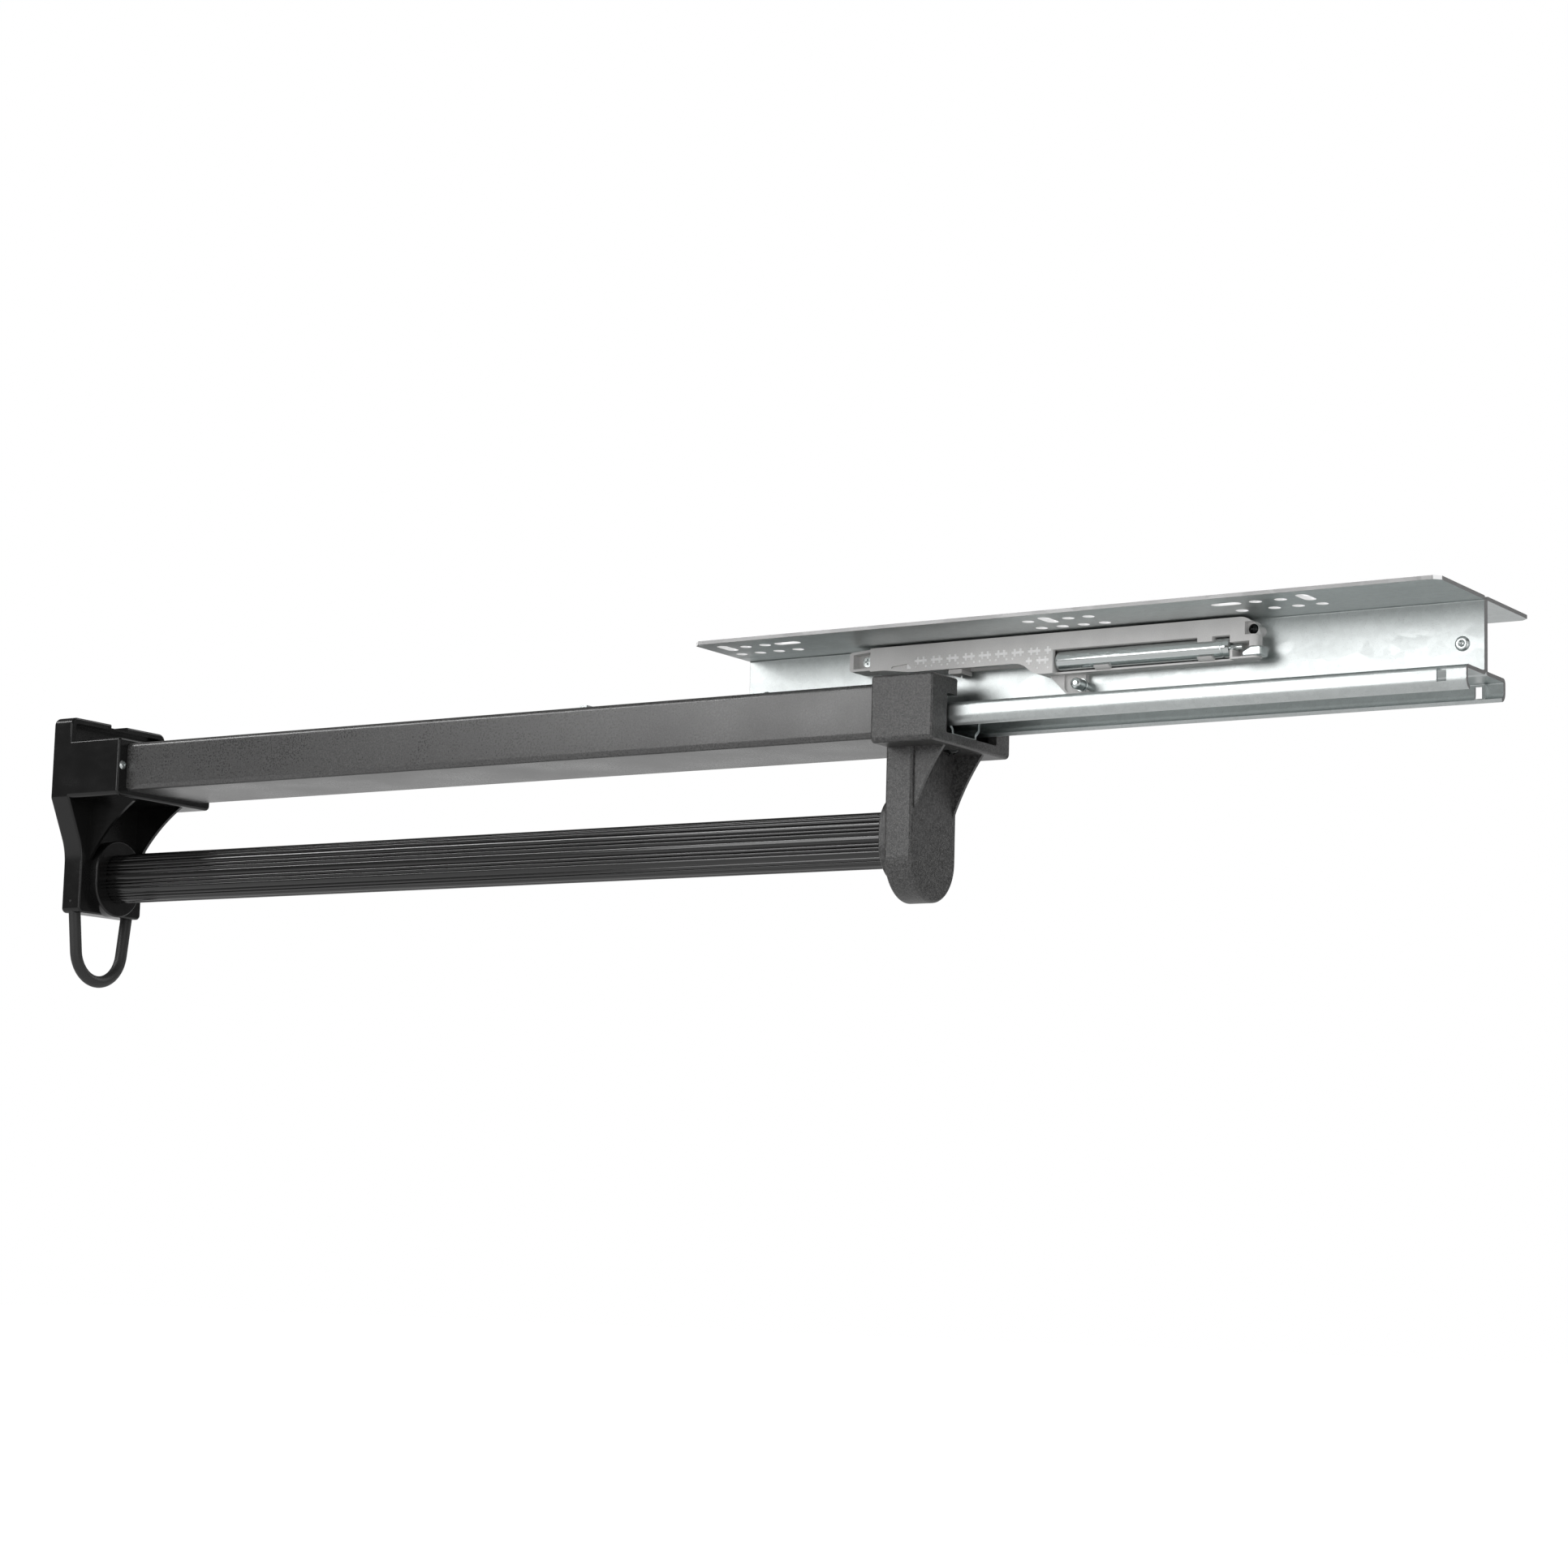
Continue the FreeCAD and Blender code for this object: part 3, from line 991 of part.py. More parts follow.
def rear_bracket():
    """Block round the tube's rear end, with the tongue that carries the rod below it."""
    body = bracket_block(REAR_BLOCK_FRONT, REAR_BLOCK_REAR, REAR_BLOCK_TOP)
    tongue_bottom = TONGUE_CENTRE_Z - TONGUE_HALF
    tongue_top = BLOCK_BOTTOM + 2 * PAST
    tongue = prism(symmetric([(TONGUE_HALF, tongue_top, 0), (TONGUE_HALF, tongue_bottom, TONGUE_HALF)]), "x",
                   TONGUE_FRONT, TONGUE_REAR)
    tongue = eased(eased(tongue, TONGUE_EASE, "x", TONGUE_FRONT), TONGUE_EASE, "x", TONGUE_REAR)
    collar = eased(prism(obround(COLLAR_HALF_WIDTH, COLLAR_HALF_HEIGHT), "x", REAR_COLLAR_END, TONGUE_FRONT + PAST),
                   COLLAR_EASE, "x", REAR_COLLAR_END)
    rib_pair = ribs(REAR_RIB_START, REAR_RIB_MIDDLE, TONGUE_REAR, REAR_RIB_FOOT)
    slot = block(REAR_BLOCK_FRONT - PAST, REAR_BLOCK_REAR + PAST, -REAR_SLOT_HALF, REAR_SLOT_HALF,
                 REAR_SLOT_BOTTOM, REAR_BLOCK_TOP + PAST)
    opening = prism(rectangle(-REAR_OPENING_HALF, REAR_OPENING_HALF, REAR_OPENING_BOTTOM, REAR_SLOT_BOTTOM,
                              REAR_OPENING_RADIUS), "x", TUBE_REAR, REAR_BLOCK_REAR + PAST)
    screw_hole = bar_z(TUBE_SCREW_RADIUS, BLOCK_BOTTOM - PAST, TUBE_BOTTOM + PAST, TUBE_SCREW_X, 0)
    cutters = [tube_socket(REAR_BLOCK_FRONT - PAST, TUBE_REAR), slot, opening, screw_hole,
               rod_room(REAR_COLLAR_END - PAST, REAR_BLOCK_FRONT)]
    return union([body, tongue, collar] + rib_pair).cut(cutters)


def rear_underside_screw():
    """Phillips screw through the block, the tube's floor and the channel's floor."""
    screw = pan_screw(TUBE_SCREW_HEAD, TUBE_SCREW_HEAD_HEIGHT, TUBE_SCREW_RADIUS, TUBE_SCREW_TIP - BLOCK_BOTTOM)
    return turned(screw, -Z_AXIS, FreeCAD.Vector(TUBE_SCREW_X, 0, BLOCK_BOTTOM))


# --- Hanger rod and loop ------------------------------------------------------------------------------

def rod_core():
    """Oval tube that carries the clothes."""
    outer_half = ROD_HALF_WIDTH - ROD_COVER
    outer_height = ROD_HALF_HEIGHT - ROD_COVER
    outer = prism(obround(outer_half, outer_height), "x", PLATE_REAR, REAR_BLOCK_FRONT)
    inner = prism(obround(outer_half - ROD_CORE_WALL, outer_height - ROD_CORE_WALL), "x", PLATE_REAR,
                  REAR_BLOCK_FRONT)
    return outer.cut(inner)


def oval_point(distance, depth):
    """Point at a distance round the rod's outline from its lowest right end of the flat side, upwards."""
    radius = ROD_HALF_WIDTH
    flat = 2 * (ROD_HALF_HEIGHT - radius)
    arc = math.pi * radius
    side = 1
    if distance >= flat + arc:
        distance -= flat + arc
        side = -1
    if distance < flat:
        return side * (radius - depth), ROD_Z + side * (distance - flat / 2)
    angle = (distance - flat) / radius
    reach = radius - depth
    return side * reach * math.cos(angle), ROD_Z + side * (flat / 2 + reach * math.sin(angle))


def rod_sleeve():
    """Ribbed cover: its outline is one low arc for each rib, with a crease between them."""
    outline_length = 4 * (ROD_HALF_HEIGHT - ROD_HALF_WIDTH) + 2 * math.pi * ROD_HALF_WIDTH
    pitch = outline_length / ROD_RIBS
    edges = []
    for index in range(ROD_RIBS):
        start = index * pitch
        places = (oval_point(start, ROD_RIB_DEPTH), oval_point(start + pitch / 2, 0),
                  oval_point((start + pitch) % outline_length, ROD_RIB_DEPTH))
        edges.append(Part.Arc(*(FreeCAD.Vector(PLATE_REAR, y, z) for y, z in places)).toShape())
    ribbed = Part.Face(Part.Wire(edges)).extrude(X_AXIS * (REAR_BLOCK_FRONT - PLATE_REAR))
    core_room = prism(obround(ROD_HALF_WIDTH - ROD_COVER, ROD_HALF_HEIGHT - ROD_COVER), "x",
                      PLATE_REAR - PAST, REAR_BLOCK_FRONT + PAST)
    return ribbed.cut(core_room)


def pull_loop():
    """Round bar bent to a loop, with both legs plugged into the front plate."""
    lean = math.radians(LOOP_LEAN)
    foot_y = LOOP_RADIUS * math.cos(lean)
    foot_z = LOOP_CENTRE_Z - LOOP_RADIUS * math.sin(lean)
    top_y = foot_y + (LOOP_PLUG_TOP - foot_z) * math.tan(lean)
    left_top, left_foot, lowest, right_foot, right_top = (
        FreeCAD.Vector(LOOP_X, y, z) for y, z in
        ((-top_y, LOOP_PLUG_TOP), (-foot_y, foot_z), (0, LOOP_CENTRE_Z - LOOP_RADIUS), (foot_y, foot_z),
         (top_y, LOOP_PLUG_TOP)))
    path = Part.Wire([Part.makeLine(left_top, left_foot), Part.Arc(left_foot, lowest, right_foot).toShape(),
                      Part.makeLine(right_foot, right_top)])
    section = Part.Wire(Part.makeCircle(LOOP_BAR, left_top, left_foot - left_top))
    return path.makePipeShell([section], True, False)


# --- Output -------------------------------------------------------------------------------------------

SUBPARTS = [
    rail_near_half, rail_far_half, web_rivets,
    soft_close_housing, soft_close_back_plate, damper_cylinder, damper_tail_lug, housing_front_screw,
    housing_rear_screw, locating_peg, closing_spring,
    catch_slider, piston_rod,
    ball_cage, cage_balls,
    inner_channel, channel_rivets, hanger_tube, catch_actuator, actuator_rivet,
    front_bracket, front_block_screws, rear_bracket, rear_underside_screw,
    rod_core, rod_sleeve, pull_loop,
]

os.makedirs("parts", exist_ok=True)
for make in SUBPARTS:
    shape = make()
    if not shape.isValid():
        raise ValueError(f"{make.__name__} is not a valid shape")
    shape.exportStep(f"parts/{make.__name__}.step")
    box = shape.BoundBox
    print(f"{make.__name__:24s} solids {len(shape.Solids):2d}  volume {shape.Volume / 1000:8.2f} cm3  "
          f"x {box.XMin:7.1f} {box.XMax:7.1f}  y {box.YMin:6.1f} {box.YMax:6.1f}  z {box.ZMin:7.1f} {box.ZMax:6.1f}")
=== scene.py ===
import logging
import math
from dataclasses import dataclass
from enum import Enum

import bmesh
import bpy
import numpy as np
from mathutils import Matrix, Vector


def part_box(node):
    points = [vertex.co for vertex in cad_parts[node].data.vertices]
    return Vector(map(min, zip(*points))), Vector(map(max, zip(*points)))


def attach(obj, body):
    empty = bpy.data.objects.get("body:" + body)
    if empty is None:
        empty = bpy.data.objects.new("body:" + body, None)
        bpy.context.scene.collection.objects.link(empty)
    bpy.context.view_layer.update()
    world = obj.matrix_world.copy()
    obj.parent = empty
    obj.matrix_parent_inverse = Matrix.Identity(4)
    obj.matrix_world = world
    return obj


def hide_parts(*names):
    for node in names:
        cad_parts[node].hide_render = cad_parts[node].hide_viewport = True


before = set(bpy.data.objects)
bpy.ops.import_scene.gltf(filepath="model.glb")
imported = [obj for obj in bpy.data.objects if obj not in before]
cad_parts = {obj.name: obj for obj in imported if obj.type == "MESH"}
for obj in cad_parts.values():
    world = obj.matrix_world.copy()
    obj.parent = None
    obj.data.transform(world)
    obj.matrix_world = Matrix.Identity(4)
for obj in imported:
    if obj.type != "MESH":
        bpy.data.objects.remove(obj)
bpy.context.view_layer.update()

log = logging.getLogger("closet_rod")

MM = 0.001
MERGE_DISTANCE = 0.002  # millimetres: vertices closer than this are one
SAME_PLACE = 1e-4  # millimetres: points of an outline closer than this are one
STRAIGHT_ANGLE = 1e-6  # radians: a corner this flat gets no arc
FLAT_ANGLE = 0.5  # degrees: faces this flat to each other are one
SHARP_ANGLE = 35.0  # degrees: an edge this sharp is rounded over
AREA_WEIGHT = 100  # the largest weight of a face's area in its corners' normals
STEEL_TINT = (0.95, 1.0, 0.995)
WHITE = (1.0, 1.0, 1.0, 1.0)

Corner = tuple[float, float, float]
Place = tuple[float, float, float]
Colour = tuple[float, float, float]
Profile = list[tuple[float, float]]
Socket = bpy.types.NodeSocket


class Axis(Enum):
    """Direction that a section or a turned profile is carried along."""

    X = 0
    Y = 1
    Z = 2


class Body(Enum):
    """Bodies of the frame that finished pieces ride on."""

    RAIL = "rail"
    CATCH = "catch"
    CARRIAGE = "carriage"


class Maths(Enum):
    """What a maths node does with its values."""

    ADD = "ADD"
    SUBTRACT = "SUBTRACT"
    MULTIPLY = "MULTIPLY"
    MAXIMUM = "MAXIMUM"
    ABSOLUTE = "ABSOLUTE"
    GREATER = "GREATER_THAN"
    LESS = "LESS_THAN"


# --- Surfaces worked out with numpy -------------------------------------------------------------------

def rounded_outline(corners: list[Corner], step: float) -> np.ndarray:
    """Closed outline whose corners are tangent arcs.

    A corner's arc starts and ends radius / tan(half its angle) from the corner, and its centre is
    radius / sin(half its angle) along the bisector.

    Args:
        corners: Corner places and radii, in millimetres.
        step: Largest angle between two points of an arc, in degrees.

    Returns:
        Points of the outline, shape (n, 2), in millimetres.
    """
    places = np.array([corner[:2] for corner in corners], float)
    runs = []
    for index, (_, _, radius) in enumerate(corners):
        corner = places[index]
        back = places[index - 1] - corner
        ahead = places[(index + 1) % len(corners)] - corner
        back /= np.linalg.norm(back)
        ahead /= np.linalg.norm(ahead)
        half = math.acos(np.clip(back @ ahead, -1, 1)) / 2
        if radius == 0 or half > math.pi / 2 - STRAIGHT_ANGLE:
            runs.append(corner[None])
            continue
        bisector = (back + ahead) / np.linalg.norm(back + ahead)
        centre = corner + bisector * radius / math.sin(half)
        first = corner + back * radius / math.tan(half) - centre
        turn = math.pi - 2 * half
        side = np.sign(first[0] * (ahead - back)[1] - first[1] * (ahead - back)[0])
        angles = side * np.linspace(0, turn, max(2, math.ceil(math.degrees(turn) / step) + 1))
        cosine, sine = np.cos(angles), np.sin(angles)
        runs.append(centre + np.stack([first[0] * cosine - first[1] * sine,
                                       first[0] * sine + first[1] * cosine], 1))
    outline = np.concatenate(runs)
    apart = np.linalg.norm(outline - np.roll(outline, 1, 0), axis=1) > SAME_PLACE
    return outline[apart]


def folded_outline(path: list[Corner], thickness: float) -> list[Corner]:
    """Corners of a folded sheet's section.

    The other face's corner is the path's corner plus thickness times the sum of the two left normals,
    over one plus their product.

    Args:
        path: One face of the sheet, with each fold's inner radius. The sheet lies on the path's left.
        thickness: Thickness of the sheet.

    Returns:
        Corners of the closed section.
    """
    places = np.array([corner[:2] for corner in path], float)
    steps = np.diff(places, axis=0)
    steps /= np.linalg.norm(steps, axis=1)[:, None]
    into = np.vstack([steps[:1], steps])
    out = np.vstack([steps, steps[-1:]])
    left_in = np.stack([-into[:, 1], into[:, 0]], 1)
    left_out = np.stack([-out[:, 1], out[:, 0]], 1)
    product = (left_in * left_out).sum(1, keepdims=True)
    other = places + (left_in + left_out) * thickness / (1 + product)
    turns_left = into[:, 0] * out[:, 1] - into[:, 1] * out[:, 0] > 0
    inner = np.array([corner[2] for corner in path])
    outer = np.where(inner > 0, inner + thickness, 0)
    near = np.column_stack([places, np.where(turns_left, outer, inner)])
    far = np.column_stack([other, np.where(turns_left, inner, outer)])[::-1]
    return [tuple(row) for row in np.vstack([near, far])]


def stacked(outline: np.ndarray, levels: list[float], axis: Axis) -> np.ndarray:
    """The same section at several levels along an axis.

    Args:
        outline: Section, shape (n, 2): (y, z) along X, (x, z) along Y or (x, y) along Z.
        levels: Places along the axis.
        axis: Direction of the stack.

    Returns:
        Rings, shape (levels, n, 3).
    """
    rings = np.zeros((len(levels), len(outline), 3))
    rings[:, :, axis.value] = np.array(levels, float)[:, None]
    others = [index for index in range(3) if index != axis.value]
    rings[:, :, others] = outline[None]
    return rings


def turned(profile: Profile, axis: Axis, centre: Place, sides: int = 48) -> np.ndarray:
    """Surface of revolution: the profile's radius, carried round the axis at its distance.

    Args:
        profile: Distances along the axis and radii.
        axis: Axis of the surface.
        centre: Point on the axis that distances are counted from.
        sides: Points of each ring.

    Returns:
        Rings, shape (profile, sides, 3).
    """
    distance, radius = np.array(profile, float).T
    angle = np.linspace(0, 2 * math.pi, sides, endpoint=False)
    rings = np.zeros((len(profile), sides, 3))
    first, second = [index for index in range(3) if index != axis.value]
    rings[:, :, axis.value] = distance[:, None]
    rings[:, :, first] = radius[:, None] * np.cos(angle)
    rings[:, :, second] = radius[:, None] * np.sin(angle)
    return rings + np.array(centre, float)


def signed_volume(points: np.ndarray, faces: np.ndarray) -> float:
    """Volume enclosed by quads: the sum of their corner tetrahedra from the origin.

    Args:
        points: Vertex places.
        faces: Quad corners, shape (n, 4).

    Returns:
        The volume, negative where faces point inwards.
    """
    a, b, c, d = (points[faces[:, index]] for index in range(4))
    return float((np.cross(a, b) * c).sum() + (np.cross(a, c) * d).sum()) / 6


def ring_mesh(name: str, rings: np.ndarray, loop: bool = False) -> bpy.types.Mesh:
    """Closed mesh through a stack of rings.

    Point (i, j) joins (i, j + 1), (i + 1, j + 1) and (i + 1, j). The ends are flat caps, or the last
    ring joins the first.

    Args:
        name: Name of the mesh.
        rings: Points, shape (m, n, 3), in millimetres.
        loop: Whether the last ring joins the first.

    Returns:
        The mesh, in metres, with faces that point outwards.
    """
    count, sides, _ = rings.shape
    points = rings.reshape(-1, 3) * MM
    row = np.arange(count if loop else count - 1)[:, None]
    column = np.arange(sides)[None]
    ahead = (column + 1) % sides
    onward = (row + 1) % count
    quads = np.stack([row * sides + column, row * sides + ahead,
                      onward * sides + ahead, onward * sides + column], -1)
    quads = quads.reshape(-1, 4)
    if signed_volume(points - points.mean(0), quads) < 0:
        quads = quads[:, ::-1]
        first_cap, last_cap = np.arange(sides), np.arange(count * sides)[-sides:][::-1]
    else:
        first_cap, last_cap = np.arange(sides)[::-1], np.arange(count * sides)[-sides:]
    faces = quads.tolist()
    if not loop:
        faces += [first_cap.tolist(), last_cap.tolist()]
    mesh = bpy.data.meshes.new(name)
    mesh.from_pydata(points.tolist(), [], faces)
    mesh.update()
    return mesh


def joined(name: str, meshes: list[bpy.types.Mesh]) -> bpy.types.Mesh:
    """One mesh of several.

    Args:
        name: Name of the new mesh.
        meshes: The meshes.

    Returns:
        The joined mesh.
    """
    work = bmesh.new()
    for mesh in meshes:
        work.from_mesh(mesh)
    result = bpy.data.meshes.new(name)
    work.to_mesh(result)
    work.free()
    return result


def smoothed(mesh: bpy.types.Mesh, angle: float) -> bpy.types.Mesh:
    """Smooth shading, with edges sharper than an angle left crisp.

    Args:
        mesh: The mesh to shade.
        angle: Angle in degrees.

    Returns:
        The same mesh.
    """
    mesh.shade_smooth()
    mesh.set_sharp_from_angle(angle=math.radians(angle))
    return mesh


def softened_copy(node: str, edge: float, segments: int) -> bpy.types.Mesh:
    """Copy of a CAD node with its doubles merged and its sharp edges rounded over.

    A corner's normal is the sum of its faces' normals, each times its face's area, so flat faces shade flat.

    Args:
        node: Name of the CAD node.
        edge: Width of the rounding, in millimetres.
        segments: Faces across each rounding.

    Returns:
        The finished mesh.
    """
    work = bmesh.new()
    work.from_mesh(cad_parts[node].data)
    bmesh.ops.remove_doubles(work, verts=work.verts, dist=MERGE_DISTANCE * MM)
    bmesh.ops.dissolve_limit(work, angle_limit=math.radians(FLAT_ANGLE), verts=work.verts, edges=work.edges)
    mesh = bpy.data.meshes.new(node + "_soft")
    work.to_mesh(mesh)
    work.free()
    mesh.shade_smooth()
    holder = bpy.data.objects.new(node + "_holder", mesh)
    bpy.context.scene.collection.objects.link(holder)
    bevel = holder.modifiers.new("edges", "BEVEL")
    bevel.width = edge * MM
    bevel.segments = segments
    bevel.limit_method = "ANGLE"
    bevel.angle_limit = math.radians(SHARP_ANGLE)
    bevel.use_clamp_overlap = True
    bevel.miter_outer = "MITER_ARC"
    normals = holder.modifiers.new("normals", "WEIGHTED_NORMAL")
    normals.weight = AREA_WEIGHT
    depsgraph = bpy.context.evaluated_depsgraph_get()
    finished = bpy.data.meshes.new_from_object(holder.evaluated_get(depsgraph))
    bpy.data.objects.remove(holder)
    return finished


# --- Finishes -----------------------------------------------------------------------------------------
# Sizes and places are in millimetres, levels are linear brightness. A span's first two numbers are the
# part of the noise's range that is spread over the finish.

class Wiring:
    """Node tree of a material or the world, with short ways to add and join nodes."""

    def __init__(self, tree: bpy.types.NodeTree) -> None:
        """Starts with an empty tree."""
        self.tree = tree
        self.tree.nodes.clear()

    def node(self, kind: str, inputs: dict | None = None, **settings: object) -> bpy.types.Node:
        """Adds a node.

        Args:
            kind: Type of the node, as the node tree names it.
            inputs: Values or sockets for its inputs.
            **settings: Properties of the node.

        Returns:
            The node.
        """
        made = self.tree.nodes.new(kind)
        for key, value in settings.items():
            setattr(made, key, value)
        for key, value in (inputs or {}).items():
            self.feed(made.inputs[key], value)
        return made

    def feed(self, socket: Socket, value: object) -> None:
        """Sets an input, or links it if the value is a socket.

        Args:
            socket: The input.
            value: A number, a colour or an output socket.
        """
        if isinstance(value, Socket):
            self.tree.links.new(value, socket)
        else:
            socket.default_value = value

    def show(self, shader: bpy.types.Node, output: str = "ShaderNodeOutputMaterial") -> None:
        """Gives the tree an output whose surface is a shader."""
        self.node(output, {"Surface": shader.outputs[0]})

    def combine(self, first: object, second: object, operation: Maths = Maths.ADD) -> Socket:
        """Arithmetic on two values."""
        return self.node("ShaderNodeMath", {0: first, 1: second}, operation=operation.value).outputs[0]

    def unsigned(self, value: Socket) -> Socket:
        """A value without its sign."""
        return self.node("ShaderNodeMath", {0: value}, operation=Maths.ABSOLUTE.value).outputs[0]

    def split(self, vector: Socket) -> list[Socket]:
        """X, Y and Z of a vector."""
        return list(self.node("ShaderNodeSeparateXYZ", {"Vector": vector}).outputs)

    def span(self, value: Socket, from_low: float, from_high: float, to_low: float = 0.0,
             to_high: float = 1.0) -> Socket:
        """Carries one range of values to another, clamped."""
        made = self.node("ShaderNodeMapRange", {"Value": value, "From Min": from_low, "From Max": from_high,
                                                "To Min": to_low, "To Max": to_high})
        return made.outputs["Result"]

    def ray(self, kind: str) -> Socket:
        """One for rays of a kind, zero for the rest."""
        return self.node("ShaderNodeLightPath").outputs[f"Is {kind} Ray"]

    def seen_directly(self) -> Socket:
        """One for camera and transmission rays, zero for the rest."""
        return self.combine(self.ray("Camera"), self.ray("Transmission"), Maths.MAXIMUM)


class Sheet(Wiring):
    """Node sheet of one material with a Principled shader, which reads the object's own coordinates."""

    def __init__(self, name: str) -> None:
        """Starts a material.

        Args:
            name: Name of the material.
        """
        self.material = bpy.data.materials.new(name)
        self.material.use_nodes = True
        super().__init__(self.material.node_tree)
        self.shader = self.node("ShaderNodeBsdfPrincipled")
        self.show(self.shader)
        coordinates = self.node("ShaderNodeTexCoord")
        self.places = coordinates.outputs["Object"]
        self.normals = coordinates.outputs["Normal"]

    def shade(self, **values: object) -> None:
        """Sets inputs of the shader, named with underscores for spaces.

        Args:
            **values: Values or sockets.
        """
        for key, value in values.items():
            self.feed(self.shader.inputs[key.replace("_", " ")], value)

    def stretched(self, stretch: Place) -> Socket:
        """Object coordinates, each axis times its own factor."""
        return self.node("ShaderNodeVectorMath", {0: self.places, 1: stretch},
                         operation=Maths.MULTIPLY.value).outputs[0]

    def noise(self, size: float, detail: float, stretch: Place = (1, 1, 1),
              roughness: float = 0.5) -> Socket:
        """Cloudy noise.

        Args:
            size: Size of its blobs, in millimetres.
            detail: Octaves.
            stretch: Factor of each axis: a small one draws the blobs out along it.
            roughness: Strength of the finer octaves.

        Returns:
            Socket from 0 to 1.
        """
        made = self.node("ShaderNodeTexNoise", {"Vector": self.stretched(stretch), "Scale": 1000 / size,
                                                "Detail": detail, "Roughness": roughness})
        return made.outputs["Fac"]

    def cells(self, size: float, stretch: Place = (1, 1, 1)) -> Socket:
        """A random grey for each cell, as in zinc spangle.

        Args:
            size: Size of a cell, in millimetres.
            stretch: Factor of each axis.

        Returns:
            Socket from 0 to 1.
        """
        made = self.node("ShaderNodeTexVoronoi", {"Vector": self.stretched(stretch), "Scale": 1000 / size})
        return self.node("ShaderNodeSeparateColor", {"Color": made.outputs["Color"]}).outputs["Red"]

    def tint(self, factor: object, dark: object, light: object) -> Socket:
        """Colour between two colours.

        Args:
            factor: Share of the second colour.
            dark: First colour or colour socket.
            light: Second colour or colour socket.

        Returns:
            Colour socket.
        """
        made = self.node("ShaderNodeMix", {"Factor": factor}, data_type="RGBA")
        for key, value in ((6, dark), (7, light)):  # the node's two colours are its inputs 6 and 7
            self.feed(made.inputs[key], value if isinstance(value, Socket) else (*value, 1.0))
        return made.outputs[2]

    def relief(self, height: Socket, depth: float, strength: float) -> Socket:
        """Bump from a height.

        Args:
            height: Socket from 0 to 1.
            depth: Depth of the relief, in millimetres.
            strength: Strength of the bump.

        Returns:
            Normal socket.
        """
        made = self.node("ShaderNodeBump", {"Height": height, "Distance": depth * MM, "Strength": strength})
        return made.outputs["Normal"]


def grey(level: float, warmth: float = 0.0) -> Colour:
    """Grey colour, a little warmer or cooler.

    Args:
        level: Linear brightness.
        warmth: Share by which red rises and blue falls.

    Returns:
        The colour.
    """
    return (level * (1 + warmth), level, level * (1 - warmth))


def steel(level: float) -> Colour:
    """Grey of zinc and steel, with a little less red.

    Args:
        level: Linear brightness.

    Returns:
        The colour.
    """
    return tuple(level * share for share in STEEL_TINT)


